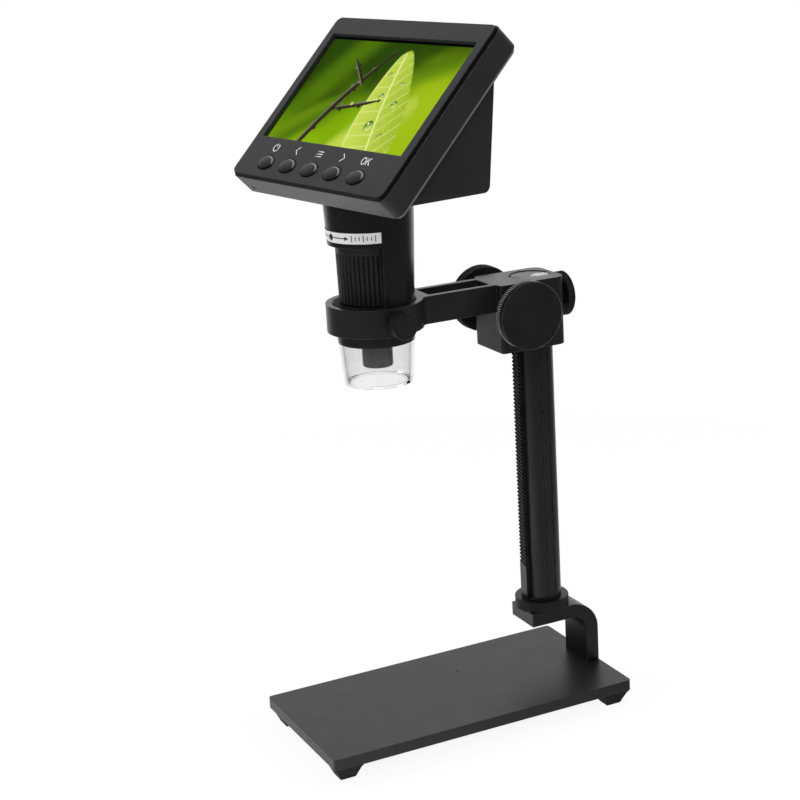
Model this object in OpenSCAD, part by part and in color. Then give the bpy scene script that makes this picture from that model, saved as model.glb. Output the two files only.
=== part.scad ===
// Digital microscope with its own screen, held in the ring of a rack-and-pinion stand.
// Millimetres. +X is to the user's right, +Y to the back, +Z up; the screen faces the
// user at -Y. The origin is the centre of the base plate, on the floor under the feet.

/* [Base] */
// Width of the base plate, left to right
plate_w = 71.4; // [64:0.1:90]
// Length of the base plate, front to back
plate_l = 141.5; // [130:0.5:180]
// Thickness of the base plate
plate_t = 4.8; // [4:0.1:8]
// Radius of the plate's upright corners
plate_corner_r = 1.6; // [0.5:0.1:6]
// Height of a foot, under the plate
foot_h = 6.4; // [4:0.1:10]
// Side of a foot's square flange
foot_w = 12; // [10:0.1:16]
// Side of a foot's square sole
foot_sole = 6.7; // [5:0.1:9]
// Thickness of a foot's flange
foot_flange_t = 1; // [0.6:0.1:2]
// Distance from the plate's edge to a foot
foot_inset = 1; // [0.5:0.1:6]
// Radius of the index dimple in the stage
dimple_r = 0.6; // [0.4:0.1:2]
// Distance of the dimple left of the plate's middle
dimple_left = 14; // [0:0.5:30]
// Distance of the dimple behind the plate's middle
dimple_back = 11.4; // [-50:0.1:30]

/* [Bracket] */
// Width of the bent bar that carries the column
bracket_w = 18.4; // [16:0.1:26]
// Thickness of the bar
bracket_t = 6; // [5:0.1:8]
// Height of the bar's pad above the plate
bracket_h = 28.75; // [24:0.25:40]
// Outer radius of the bend
bend_r = 13; // [9:0.1:14]
// Length of the pad in front of the column's axis
pad_front = 10; // [9:0.1:16]

/* [Column] */
// Distance from the plate's rear edge to the column's axis
column_setback = 22.8; // [22:0.1:28]
// Diameter of the column
column_d = 17.2; // [16.4:0.1:18]
// Length of the column above the pad
column_l = 148.35; // [130:0.05:170]
// Distance from the column's axis to its front flat
flat_off = 6.8; // [6.5:0.05:7.1]
// Width of the four decorative grooves
groove_w = 0.9; // [0.5:0.1:1.4]
// Depth of the grooves
groove_depth = 0.6; // [0.3:0.1:1]
// Bearings of the grooves behind and in front of the column's side
groove_bearings = [-10, 16]; // two angles in degrees
// Radius of the lock collar
collar_r = 11.8; // [11:0.1:14]
// Height of the lock collar
collar_h = 4.8; // [3:0.1:8]

/* [Rack and pinion] */
// Normal module of the teeth
tooth_m = 0.5; // [0.45:0.01:0.55]
// Helix angle of the teeth
helix = 20; // [10:1:25]
// Teeth on the pinion
pinion_teeth = 15; // [14:1:16]
// Width of the rack strip
rack_w = 5.2; // [4:0.1:6]
// Thickness of the rack strip, from its seat to the tooth tips
rack_t = 3; // [2.4:0.1:3.6]
// Height of the lowest tooth above the collar
rack_plain = 15; // [8:0.5:40]
// Diameter of the pinion's shaft
shaft_d = 5; // [4:0.1:5.4]
// Height of the shaft above the carriage's underside
shaft_up = 17.05; // [14:0.05:19]
// Radius of a drive knob
knob_r = 14.2; // [11:0.1:16]
// Thickness of a drive knob
knob_t = 4.9; // [2.8:0.1:6]
// Distance between the outer faces of the two drive knobs
knob_span = 45.2; // [44:0.1:52]
// Ribs round a drive knob's rim
knob_ribs = 96; // [48:2:110]

/* [Carriage and arm] */
// Distance of the carriage's top below the column's top
carriage_drop = -0.3; // [-5:0.1:60]
// Width of the carriage block
block_w = 23.8; // [21.4:0.1:26]
// Height of the carriage block
block_h = 28.9; // [28:0.1:34]
// Length of the block in front of the column's axis
block_front = 20.6; // [19.6:0.1:24]
// Length of the block behind the column's axis
block_back = 10.6; // [10.5:0.1:14]
// Radius of the block's upright rear corners
block_rear_r = 4.5; // [1.5:0.1:6]
// Radius of the block's upright front corners
block_front_r = 1.6; // [0.5:0.1:3]
// Width of the arm
arm_w = 16.8; // [14:0.1:20]
// Height of the arm and of its ring
arm_h = 11.5; // [10:0.1:13]
// Width of the long slot in the arm
slot_w = 11.6; // [8:0.1:13]
// Length of the long slot in the arm
slot_l = 28.3; // [12:0.1:28.6]
// Distance from the optical axis to the column's axis
reach = 72.3; // [70:0.1:90]
// Outer radius of the ring
ring_r = 19.8; // [19:0.1:22]
// Radius of the fillets between ring and arm
neck_fillet_r = 2.5; // [1:0.1:5]

/* [Clamp screws] */
// Radius of the rear clamp knob
clamp_r = 9.5; // [7:0.1:11]
// Thickness of the rear clamp knob
clamp_t = 3.1; // [2.6:0.1:6]
// Height of the rear clamp above the carriage's underside
clamp_up = 18.7; // [16:0.1:19]
// Gap between the block and the rear clamp knob
clamp_gap = 2.8; // [1.6:0.1:4]
// Diameter of the rear clamp's thread
clamp_thread_d = 5; // [4:0.1:6]
// Radius of the ring's thumb screw head
thumb_r = 5.5; // [4.5:0.1:5.6]
// Thickness of the thumb screw's head
thumb_t = 4.8; // [3:0.1:7]
// Gap between the ring and the thumb screw's head
thumb_gap = 3.6; // [2:0.1:5]
// Diameter of the thumb screw's thread
thumb_thread_d = 4; // [3:0.1:5]

/* [Microscope tube] */
// Length of the tube below the ring's top
tube_drop = 16.4; // [14.6:0.1:18.2]
// Length of the tube up to the screen housing
tube_l = 61.8; // [60:0.1:70]
// Radius of the tube at its lower end
tube_r0 = 15.7; // [15.6:0.05:16]
// Radius of the tube at the screen housing
tube_r1 = 18.4; // [18:0.05:19]
// Height of the window's sill above the tube's lower end
window_up = 16.7; // [16.5:0.1:18]
// Height of the window
window_h = 24.1; // [18:0.1:25]
// Angle that the window takes of the tube's front
window_angle = 140; // [90:2:160]
// Height of the label above the tube's lower end
label_up = 42.4; // [42:0.1:44]
// Width of the label strip
label_h = 5.1; // [3:0.1:7]
// Angle that the label takes of the tube's front
label_angle = 142; // [90:2:170]
// Radius of the focus wheel at its top
wheel_r1 = 14.5; // [14.2:0.05:14.6]
// Radius of the focus wheel at its bottom
wheel_r0 = 14.1; // [13.8:0.05:14.2]
// Height of the smooth band at the wheel's top
wheel_band = 4.4; // [2:0.1:6]
// Flutes round the focus wheel
wheel_flutes = 45; // [24:1:60]
// Radius of the lens nose
nose_r = 6.25; // [5.5:0.05:6.6]
// Distance from the tube's lower end down to the nose's tip
nose_drop = 10.5; // [6:0.1:12]

/* [Clear cap] */
// Height of the clear cap below the tube
cap_h = 17.5; // [17:0.1:24]
// Radius of the cap at its lower end
cap_r = 14.45; // [14:0.05:15]
// Thickness of the cap's wall
cap_wall = 1.8; // [1.2:0.1:2]
// Radius of the cap's lower opening
cap_mouth_r = 11.4; // [9:0.1:11.4]
// Radius of the cap's rounded lower edge
cap_edge_r = 3; // [1.5:0.1:3]

/* [Screen housing] */
// Turn of the head about the tube's axis, to the user's right
head_yaw = 9.9; // [-30:0.1:30]
// Tilt of the screen's face from upright to lying back
face_tilt = 44.6; // [44:0.1:46]
// Width of the bezel's flat face
face_w = 105.2; // [104:0.1:112]
// Height of the bezel's flat face
face_h = 80.95; // [80:0.05:86]
// Height of the face's centre above the tube's lower end
face_up = 96.44; // [96:0.02:98]
// Distance from the tube's axis forward to the face's centre
face_fwd = 1.8; // [1:0.1:3]
// Width of the sloped edge round the face
edge_run = 1; // [0.5:0.1:1.6]
// Depth of the sloped edge
edge_drop = 1.7; // [1:0.1:2.4]
// Depth of the bezel
bezel_depth = 11.8; // [11:0.1:14]
// Radius of the bezel's corners
bezel_corner_r = 4; // [3:0.1:6]
// Thickness of the bezel's walls and front plate
bezel_wall = 2; // [1.6:0.1:2.4]
// Width of the screen opening
screen_w = 96.5; // [94:0.1:97]
// Height of the screen opening
screen_h = 53.65; // [50:0.05:54]
// Height of the screen opening's centre above the face's centre
screen_up = 5.2; // [5:0.1:6]
// Thickness of the rear housing's flange
flange_t = 1.6; // [1.4:0.1:2.4]
// Step from the bezel's side in to the flange
flange_step = 0.3; // [0.1:0.1:0.6]
// Slope of the flange's sides, over its thickness
flange_run = 0.9; // [0.3:0.1:1.2]
// Width of the wedge behind the bezel
wedge_w = 96; // [95:0.1:98]
// Distance from the tube's axis back to the wedge's lower rear edge
wedge_back = 23.9; // [23:0.1:26]
// Height on the bezel's back where the wedge's rear wall ends
wedge_top = 29.7; // [28.5:0.1:31]
// Thickness of the wedge's walls
wedge_wall = 2; // [1.6:0.1:2.4]
// Radius of the wedge's lower rear edge
wedge_corner_r = 3; // [1:0.1:4]

/* [Controls] */
// Length of a button
button_l = 10.6; // [9:0.1:11.4]
// Height of a button
button_h = 6.8; // [6:0.1:7.2]
// Radius of a button's rounded ends
button_end_r = 2.6; // [2:0.1:2.9]
// Distance between two buttons
button_pitch = 15.8; // [15:0.1:17]
// Distance of the middle button left of the face's centre
button_left = 1.4; // [0:0.1:2]
// Distance of the buttons below the face's centre
button_down = 33.8; // [33:0.1:34]
// Height of a button's dome
button_dome = 0.75; // [0.4:0.05:1.2]
// Travel of a button
button_travel = 0.8; // [0.5:0.05:1]
// Radius of the light control wheel
dimmer_r = 5.4; // [5:0.1:6]
// Thickness of the light control wheel
dimmer_t = 2; // [1.4:0.1:2.4]

/* [Fits] */
// Radial clearance of turning and sliding fits
run_fit = 0.05; // [0.03:0.01:0.1]
// Radial clearance of fixed fits
fix_fit = 0.02; // [0.01:0.01:0.04]
// Clearance between pieces that move past each other
move_gap = 0.3; // [0.25:0.05:0.4]
// Backlash on each flank of the rack and pinion
flank_gap = 0.06; // [0.04:0.01:0.08]

/* [Hidden] */
$fn = 64;
over = 1;           // how far a cutter passes the face it cuts

// Heights and places along the stand
plate_top = foot_h + plate_t;
pad_z = plate_top + bracket_h;
column_r = column_d/2;
column_y = plate_l/2 - column_setback;
column_top = pad_z + column_l;
tube_y = column_y - reach;
carriage_top = column_top - carriage_drop;
carriage_z = carriage_top - block_h;
tube_z = carriage_top - tube_drop;
arm_z = carriage_top - arm_h;
ring_mid_z = arm_z + arm_h/2;
bend_inner_r = bend_r - bracket_t;

// Rack and pinion: the rack's teeth point to the front, the pinion lies before them
rack_tip = flat_off - 1 + rack_t;            // from the column's axis to the tooth tips
rack_seat = rack_tip - rack_t;
rack_bottom = pad_z + collar_h + move_gap;
pressure = 20;
dedendum = 1.25*tooth_m;
rack_pitch = PI*tooth_m/cos(helix);          // tooth pitch measured up the column
pinion_r = pinion_teeth*tooth_m/(2*cos(helix));
pinion_tip_r = pinion_r + tooth_m;
pinion_root_r = pinion_r - dedendum;
pinion_over = 0.6;                           // the pinion passes the rack by this at each side
pinion_l = rack_w + 2*pinion_over;
shaft_y = column_y - rack_tip + tooth_m - pinion_r;
shaft_z = carriage_z + shaft_up;
shaft_r = shaft_d/2;
boss_r = 7;
boss_out = 3.6;                              // how far the bearing bosses stand off the block
bush_wall = 1.3;
bush_flange = 0.8;
knob_in = knob_span/2 - knob_t;              // inner face of a drive knob
hub_r = 5;
knob_floor = 1;                              // metal left over the end of the shaft's bore
rim_edge = 0.5;                              // plain edge in front of a rim's ribs
rim_chamfer = 0.25;
rib_depth = 0.35;

// Clamp screws
clamp_ribs = 64;
thumb_ribs = 48;
collar_ribs = 90;
fine_rib_depth = 0.2;
clamp_thread_r = clamp_thread_d/2;
clamp_z = carriage_z + clamp_up;
block_rear_y = column_y + block_back;
pad_l = 1.2;
thumb_thread_r = thumb_thread_d/2;
thumb_y = tube_y;

// Tube: radius at a height above the tube's lower end
function tube_r(up) = tube_r0 + (tube_r1 - tube_r0)*up/tube_l;
tube_top = tube_z + tube_l;
window_z = tube_z + window_up;
barrel_clear = 0.35;
wheel_room_r = wheel_r1 + barrel_clear;
wheel_bottom = window_z + move_gap;
wheel_top = window_z + window_h + 1;
lower_bore_r = 13.9;
upper_bore_r = 15.5;
neck_r = 12.5;
neck_collar_r = 13.6;
neck_collar_h = 1.4;
wheel_bore_r = 12.3;
barrel_r = wheel_bore_r - run_fit;
barrel_l = 12;
barrel_up = 6;                               // the barrel's lower end above the wheel's
barrel_z = wheel_bottom + barrel_up;
lens_bore_r = 5;
led_ring_up = 5;                             // the lamps' board above the tube's lower end
led_ring_z = tube_z + led_ring_up;
led_room = 0.2;                              // the lamps stand back this much from the nose
board_t = 1.6;
spigot_h = 3.6;
spigot_wall = 1.2;

// Head: local axes are u (right), v (up the face) and w (out of the face)
face_z = tube_z + face_up;
function head_y(v, w) = -face_fwd + v*cos(face_tilt) - w*sin(face_tilt);
function head_z(v, w) = face_z + v*sin(face_tilt) + w*cos(face_tilt);
function head_at(v, w) = [head_y(v, w), head_z(v, w)];
bezel_w = face_w + 2*edge_run;
bezel_h = face_h + 2*edge_run;
flange_back = bezel_depth + flange_t;
inner_w = bezel_w - 2*bezel_wall;
inner_h = bezel_h - 2*bezel_wall;
glass_w = screen_w + 2;
glass_h = screen_h + 3.6;
glass_t = 1.1;
module_w = glass_w + 0.6;
module_h = glass_h + 1;
module_t = 3;
screw_r = 1;
screw_head_r = 1.8;
screw_head_t = 0.8;
post_r = 2.2;
post_u = inner_w/2 - post_r - 1.4;
post_v = inner_h/2 - post_r + 0.5;
screw_l = 7;

// Wedge outline in the plane across the tube's axis: lower front, lower rear, top
wedge_floor = tube_top;
wedge_front_v = (wedge_floor - head_z(0, -flange_back))/sin(face_tilt);
wedge_low_front = head_at(wedge_front_v, -flange_back);
wedge_low_rear = [wedge_back, wedge_floor];
wedge_high = head_at(wedge_top, -flange_back);
lip = 3;                                     // flange left inside the wedge's outline

// Boards
board_w = wedge_w - 2*wedge_wall - 2*move_gap;
board_low = -23;
board_high = 17;
board_front = -16.6;
key_board_w = 84;
key_board_high = -28.6;
key_board_front = -6.4;
button_flange = 1;
button_flange_t = 0.8;
button_gap = 0.25;
button_stem_r = 1.6;
switch_h = 0.5;
switch_w = 4;
dimmer_v = 12;
dimmer_out = 1.2;                            // the wheel stands this far out of the side
dimmer_lift = 1.6;                           // and this far off its board
dimmer_u = -wedge_w/2 + dimmer_r - dimmer_out;
dimmer_w = board_front + dimmer_lift;
usb_v = -14;
card_v = -1;

// ---------------------------------------------------------------- shared shapes

// Rounded rectangle of true arcs
module rounded_rect(w, h, r) {
    square([w - 2*r, h], center = true);
    square([w, h - 2*r], center = true);
    for (x = [-1, 1], y = [-1, 1])
        translate([x*(w/2 - r), y*(h/2 - r)]) circle(r);
}

// Rounded block between two heights
module rounded_block(w, h, r, z0, z1) {
    translate([0, 0, z0]) linear_extrude(z1 - z0) rounded_rect(w, h, r);
}

// Rounded block whose four sides slope in from r0 below to r1 above, round one core
module sloped_block(core_w, core_h, r0, r1, t) {
    linear_extrude(t) square([core_w, core_h], center = true);
    for (x = [-1, 1], y = [-1, 1])
        translate([x*core_w/2, y*core_h/2, 0]) cylinder(h = t, r1 = r0, r2 = r1);
    rotate([90, 0, 0]) translate([0, 0, -core_h/2]) linear_extrude(core_h)
        polygon([[-core_w/2 - r0, 0], [core_w/2 + r0, 0], [core_w/2 + r1, t], [-core_w/2 - r1, t]]);
    rotate([90, 0, 90]) translate([0, 0, -core_w/2]) linear_extrude(core_w)
        polygon([[-core_h/2 - r0, 0], [core_h/2 + r0, 0], [core_h/2 + r1, t], [-core_h/2 - r1, t]]);
}

// Oval of four tangent arcs
module oval(l, h, end_r) {
    off = l/2 - end_r;
    side_r = (off*off + h*h/4 - end_r*end_r)/(h - 2*end_r);
    meet = off*side_r/(side_r - end_r);
    for (x = [-1, 1]) translate([x*off, 0]) circle(end_r);
    intersection() {
        translate([0, h/2 - side_r]) circle(side_r);
        translate([0, side_r - h/2]) circle(side_r);
        square([2*meet, h], center = true);
    }
}

// Disc standing on z = 0: a rim with straight ribs below a plain, chamfered edge
module ribbed_disc(r, t, ribs, depth) {
    rib_drop = 0.05;                         // ribs stay this far inside the edge
    linear_extrude(t - rim_edge)
        polygon([for (i = [0 : 2*ribs - 1])
            let (a = 180*i/ribs, q = i % 2 == 0 ? r - rib_drop : r - depth) [q*cos(a), q*sin(a)]]);
    translate([0, 0, t - rim_edge]) cylinder(h = rim_edge - rim_chamfer, r = r);
    translate([0, 0, t - rim_chamfer]) cylinder(h = rim_chamfer, r1 = r, r2 = r - rim_chamfer);
}

// Countersunk screw pointing up, its head's flat face on z = 0
module countersunk(r, head_r, head_t, l) {
    cylinder(h = head_t, r1 = head_r, r2 = r);
    cylinder(h = l, r = r);
}

// Sector of a round band about the front (-Y), between two heights
module front_sector(r, angle, z0, z1) {
    translate([0, 0, z0]) linear_extrude(z1 - z0)
        polygon([[0, 0], for (i = [0 : 6])
            let (a = -90 - angle/2 + angle*i/6) [r*cos(a), r*sin(a)]]);
}

// Places of the head: about the tube's axis, and in the screen's own plane
module head_turned() {
    translate([0, tube_y, 0]) rotate([0, 0, head_yaw]) children();
}

module on_face() {
    head_turned() translate([0, -face_fwd, face_z]) rotate([face_tilt, 0, 0]) children();
}

module at_column() {
    translate([0, column_y, 0]) children();
}

// ---------------------------------------------------------------- base

module foot_places() {
    for (x = [-1, 1], y = [-1, 1])
        translate([x*(plate_w/2 - foot_inset - foot_w/2), y*(plate_l/2 - foot_inset - foot_w/2), 0])
            children();
}

bracket_screw_edge = 4;                      // a screw's axis inside the bar's side
bracket_screw_x = bracket_w/2 - bracket_screw_edge;
bracket_screw_r = 2;
bracket_screw_head_r = 3.8;
bracket_screw_head_t = 2;
bracket_screw_l = plate_t + 0.28*bracket_h;
bracket_screw_room = 1;                      // bore left past a screw's end
leg_y = plate_l/2 - bracket_t/2;

module bracket_screw_places() {
    for (x = [-1, 1]) translate([x*bracket_screw_x, leg_y, foot_h]) children();
}

module base_plate() {
    color([0.16, 0.16, 0.17]) difference() {
        rounded_block(plate_w, plate_l, plate_corner_r, foot_h, plate_top);
        bracket_screw_places() countersunk(bracket_screw_r + fix_fit,
            bracket_screw_head_r + fix_fit, bracket_screw_head_t, plate_t + over);
        translate([-dimple_left, dimple_back, plate_top - dimple_r]) cylinder(h = over, r = dimple_r);
    }
}

// Each foot is a flange over a square sole that narrows to the floor
module rubber_feet() {
    taper_h = foot_h - foot_flange_t;
    foot_lip = 0.3;                          // the flange stands this far out over the sole
    color([0.09, 0.09, 0.09]) foot_places() {
        translate([-foot_w/2, -foot_w/2, taper_h]) cube([foot_w, foot_w, foot_flange_t]);
        rotate([0, 0, 45])
            cylinder(h = taper_h, r1 = foot_sole/sqrt(2), r2 = (foot_w - 2*foot_lip)/sqrt(2), $fn = 4);
    }
}

// A flat bar bent forward over the plate; its pad carries the column
module c_bracket() {
    leg_l = bracket_h - bend_r;
    pad_back = column_setback - bend_r;
    color([0.12, 0.12, 0.13]) difference() {
        translate([-bracket_w/2, 0, 0]) rotate([90, 0, 90]) linear_extrude(bracket_w) {
            translate([plate_l/2 - bracket_t, plate_top]) square([bracket_t, leg_l]);
            translate([column_y - pad_front, pad_z - bracket_t])
                square([pad_front + pad_back, bracket_t]);
            translate([plate_l/2 - bend_r, plate_top + leg_l]) intersection() {
                difference() {
                    circle(bend_r);
                    circle(bend_inner_r);
                }
                square(bend_r + over);
            }
        }
        at_column() translate([0, 0, pad_z - bracket_t]) bolt_hole();
        bracket_screw_places() cylinder(h = bracket_screw_l + bracket_screw_room, r = bracket_screw_r + fix_fit);
    }
}

module bracket_screws() {
    color([0.55, 0.55, 0.57]) bracket_screw_places()
        countersunk(bracket_screw_r, bracket_screw_head_r, bracket_screw_head_t, bracket_screw_l);
}

// ---------------------------------------------------------------- column

bolt_r = 3;
bolt_head_r = 5.8;
bolt_head_t = 2.8;
bolt_reach = 12;

module bolt_hole() {
    countersunk(bolt_r + run_fit, bolt_head_r + run_fit, bolt_head_t, bracket_t + over);
}

// Bar of round section with a front flat, a seat for the rack and four long grooves
module column() {
    color([0.13, 0.13, 0.14]) at_column() difference() {
        translate([0, 0, pad_z]) cylinder(h = column_l, r = column_r);
        translate([-column_r, -flat_off - column_r, rack_bottom])
            cube([column_d, column_r, column_l]);
        translate([-rack_w/2, -rack_tip, rack_bottom])
            cube([rack_w, rack_t, column_l]);
        for (side = [0, 1], a = groove_bearings) mirror([side, 0, 0]) rotate([0, 0, a])
            translate([column_r - groove_depth, -groove_w/2, rack_bottom])
                cube([groove_depth + over, groove_w, column_l]);
        translate([0, 0, pad_z - over]) cylinder(h = bolt_reach + 2*over, r = bolt_r + fix_fit);
    }
}

// One gap between two rack teeth: straight flanks, laid along the helix
module rack_gap() {
    half = PI*tooth_m/4;
    slope = tan(pressure);
    out = tooth_m + over;
    rotate([0, helix, 0]) translate([-rack_w, 0, 0]) rotate([90, 0, 90]) linear_extrude(2*rack_w)
        polygon([[dedendum, half - dedendum*slope], [-out, half + out*slope],
                 [-out, -half - out*slope], [dedendum, -half + dedendum*slope]]);
}

// The strip of helical teeth; one gap lies level with the pinion's axis
module gear_rack() {
    low = floor((shaft_z - rack_bottom - rack_plain)/rack_pitch);
    high = ceil((column_top - shaft_z)/rack_pitch);
    color([0.1, 0.1, 0.11]) at_column() difference() {
        translate([-rack_w/2, -rack_tip, rack_bottom])
            cube([rack_w, rack_t, column_top - rack_bottom]);
        for (i = [-low : high]) translate([0, -rack_tip + tooth_m, shaft_z + i*rack_pitch]) rack_gap();
    }
}

module column_bolt() {
    color([0.5, 0.5, 0.52]) at_column() translate([0, 0, pad_z - bracket_t])
        countersunk(bolt_r, bolt_head_r, bolt_head_t, bracket_t + bolt_reach);
}

module lock_collar() {
    color([0.12, 0.12, 0.13]) at_column() translate([0, 0, pad_z]) difference() {
        ribbed_disc(collar_r, collar_h, collar_ribs, fine_rib_depth);
        translate([0, 0, -over]) cylinder(h = collar_h + 2*over, r = column_r + run_fit);
    }
}

// ---------------------------------------------------------------- carriage and arm

// Outline of the ring, its filleted neck and the arm, about the tube's axis
module arm_outline() {
    fillet_x = arm_w/2 + neck_fillet_r;
    fillet_y = sqrt(pow(ring_r + neck_fillet_r, 2) - fillet_x*fillet_x);
    touch = ring_r/(ring_r + neck_fillet_r);
    circle(ring_r, $fn = 96);
    translate([-arm_w/2, 0]) square([arm_w, reach - block_front + over]);
    for (side = [0, 1]) mirror([side, 0]) difference() {
        polygon([[0, 0], [fillet_x*touch, fillet_y*touch], [fillet_x, fillet_y], [0, fillet_y]]);
        translate([fillet_x, fillet_y]) circle(neck_fillet_r);
    }
}

// Plan of the block: square front, well rounded rear
module block_outline() {
    front = column_y - block_front;
    translate([0, (front + block_rear_y)/2]) intersection() {
        rounded_rect(block_w, block_front + block_back, block_front_r);
        union() {
            translate([-block_w/2, -(block_front + block_back)/2])
                square([block_w, block_front + block_back - block_rear_r]);
            rounded_rect(block_w, block_front + block_back, block_rear_r);
        }
    }
}

slot_shift = 0.1;                            // the slot lies this far behind the arm's middle
slot_mid_y = column_y - block_front - (reach - block_front - ring_r)/2 + slot_shift;

module arm_carriage() {
    lip_h = 0.9;
    color([0.14, 0.14, 0.15]) difference() {
        union() {
            translate([0, tube_y, arm_z]) linear_extrude(arm_h) arm_outline();
            translate([0, 0, carriage_z]) linear_extrude(block_h) block_outline();
            translate([0, shaft_y, shaft_z]) rotate([0, 90, 0])
                cylinder(h = block_w + 2*boss_out, r = boss_r, center = true);
        }
        // long slot
        translate([0, slot_mid_y, arm_z - over]) linear_extrude(arm_h + 2*over)
            rounded_rect(slot_w, slot_l, 1);
        // tapered bore of the ring, with its upper lip
        translate([0, tube_y, 0]) {
            translate([0, 0, arm_z - over]) cylinder(h = arm_h + 2*over,
                r1 = tube_r(arm_z - over - tube_z) + run_fit,
                r2 = tube_r(carriage_top + over - tube_z) + run_fit, $fn = 96);
            translate([0, 0, carriage_top - lip_h]) cylinder(h = lip_h + over,
                r1 = tube_r(carriage_top - lip_h - tube_z) + run_fit,
                r2 = tube_r(carriage_top + over - tube_z) + lip_h + over, $fn = 96);
        }
        // bore for the column, with a way for the rack and room for the pinion
        at_column() {
            translate([0, 0, carriage_z - over]) cylinder(h = block_h + 2*over, r = column_r + run_fit);
            translate([-rack_w/2 - move_gap, -rack_tip - move_gap, carriage_z - over])
                cube([rack_w + 2*move_gap, rack_tip, block_h + 2*over]);
        }
        translate([0, shaft_y, shaft_z]) rotate([0, 90, 0]) {
            cylinder(h = pinion_l + 2*move_gap, r = pinion_tip_r + move_gap, center = true);
            cylinder(h = block_w + 2*boss_out + 2*over, r = shaft_r + bush_wall + fix_fit, center = true);
        }
        // threads of the two clamp screws
        translate([0, column_y, clamp_z]) rotate([-90, 0, 0])
            cylinder(h = block_back + over, r = clamp_thread_r + run_fit);
        translate([0, thumb_y, ring_mid_z]) rotate([0, 90, 0])
            cylinder(h = ring_r + over, r = thumb_thread_r + run_fit);
    }
}

bush_l = block_w/2 + boss_out - pinion_l/2 - move_gap;

// Two flanged bearing bushes
module shaft_bushes() {
    color([0.72, 0.55, 0.3]) for (side = [0, 1]) mirror([side, 0, 0])
        translate([block_w/2 + boss_out, shaft_y, shaft_z]) rotate([0, 90, 0]) difference() {
            union() {
                translate([0, 0, -bush_l]) cylinder(h = bush_l, r = shaft_r + bush_wall);
                cylinder(h = bush_flange, r = shaft_r + 2*bush_wall);
            }
            translate([0, 0, -bush_l - over])
                cylinder(h = bush_l + bush_flange + 2*over, r = shaft_r + run_fit);
        }
}

// ---------------------------------------------------------------- drive

module at_shaft() {
    translate([0, shaft_y, shaft_z]) rotate([0, 90, 0]) children();
}

module pinion_shaft() {
    color([0.6, 0.6, 0.62]) at_shaft() cylinder(h = knob_span - 2*knob_floor, r = shaft_r, center = true);
}

// Involute of the transverse section, as the half angle of a tooth at radius r
transverse = atan(tan(pressure)/cos(helix));
base_r = pinion_r*cos(transverse);
function inv(a) = tan(a)*180/PI - a;
function half_tooth(r) = 90/pinion_teeth - flank_gap/pinion_r*180/PI
    + inv(transverse) - inv(r > base_r ? acos(base_r/r) : 0);
flank = [pinion_root_r, base_r, (base_r + 2*pinion_r)/3, (pinion_r + pinion_tip_r)/2, pinion_tip_r];

// Helical pinion; a tooth's middle points at the rack in the middle of its length
module pinion_gear() {
    turn = pinion_l*tan(helix)/pinion_r*180/PI;
    step = 360/pinion_teeth;
    outline = [for (i = [0 : pinion_teeth - 1]) each concat(
        [for (r = flank) [r*cos(i*step - half_tooth(r)), r*sin(i*step - half_tooth(r))]],
        [for (k = [len(flank) - 1 : -1 : 0]) let (r = flank[k])
            [r*cos(i*step + half_tooth(r)), r*sin(i*step + half_tooth(r))]])];
    color([0.7, 0.6, 0.35]) translate([-pinion_l/2, shaft_y, shaft_z]) rotate([90, 0, 90])
        difference() {
            linear_extrude(pinion_l, twist = turn, slices = 8) rotate(turn/2) polygon(outline);
            translate([0, 0, -over]) cylinder(h = pinion_l + 2*over, r = shaft_r + fix_fit);
        }
}

// Ribbed disc on a hub, pushed on the shaft's end
module drive_knob() {
    hub_from = block_w/2 + boss_out + bush_flange + move_gap;
    color([0.11, 0.11, 0.12]) translate([0, shaft_y, shaft_z]) rotate([0, 90, 0]) difference() {
        union() {
            translate([0, 0, knob_in]) ribbed_disc(knob_r, knob_t, knob_ribs, rib_depth);
            translate([0, 0, hub_from]) cylinder(h = knob_in - hub_from + over, r = hub_r);
        }
        cylinder(h = knob_span/2 - knob_floor, r = shaft_r + fix_fit);
    }
}

module drive_knob_right() {
    drive_knob();
}

module drive_knob_left() {
    mirror([1, 0, 0]) drive_knob();
}

// ---------------------------------------------------------------- clamp screws

brake_rest = 0.1;                            // the pads' clearance while a screw is loose
thumb_pad_x = tube_r(ring_mid_z + thumb_thread_r - tube_z) + brake_rest;

module brake_pad() {
    color([0.72, 0.55, 0.3]) translate([0, column_y + column_r + brake_rest, clamp_z])
        rotate([-90, 0, 0]) cylinder(h = pad_l, r = clamp_thread_r);
}

module clamp_knob() {
    from = column_y + column_r + brake_rest + pad_l + brake_rest;
    head = block_rear_y + clamp_gap;
    color([0.11, 0.11, 0.12]) translate([0, from, clamp_z]) rotate([-90, 0, 0]) {
        cylinder(h = head - from + over, r = clamp_thread_r);
        translate([0, 0, head - from]) ribbed_disc(clamp_r, clamp_t, clamp_ribs, rib_depth);
        translate([0, 0, block_rear_y - from + move_gap])
            cylinder(h = clamp_gap - move_gap + over, r = hub_r);
    }
}

module ring_pad() {
    color([0.85, 0.84, 0.8]) translate([thumb_pad_x, thumb_y, ring_mid_z])
        rotate([0, 90, 0]) cylinder(h = pad_l, r = thumb_thread_r);
}

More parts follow.
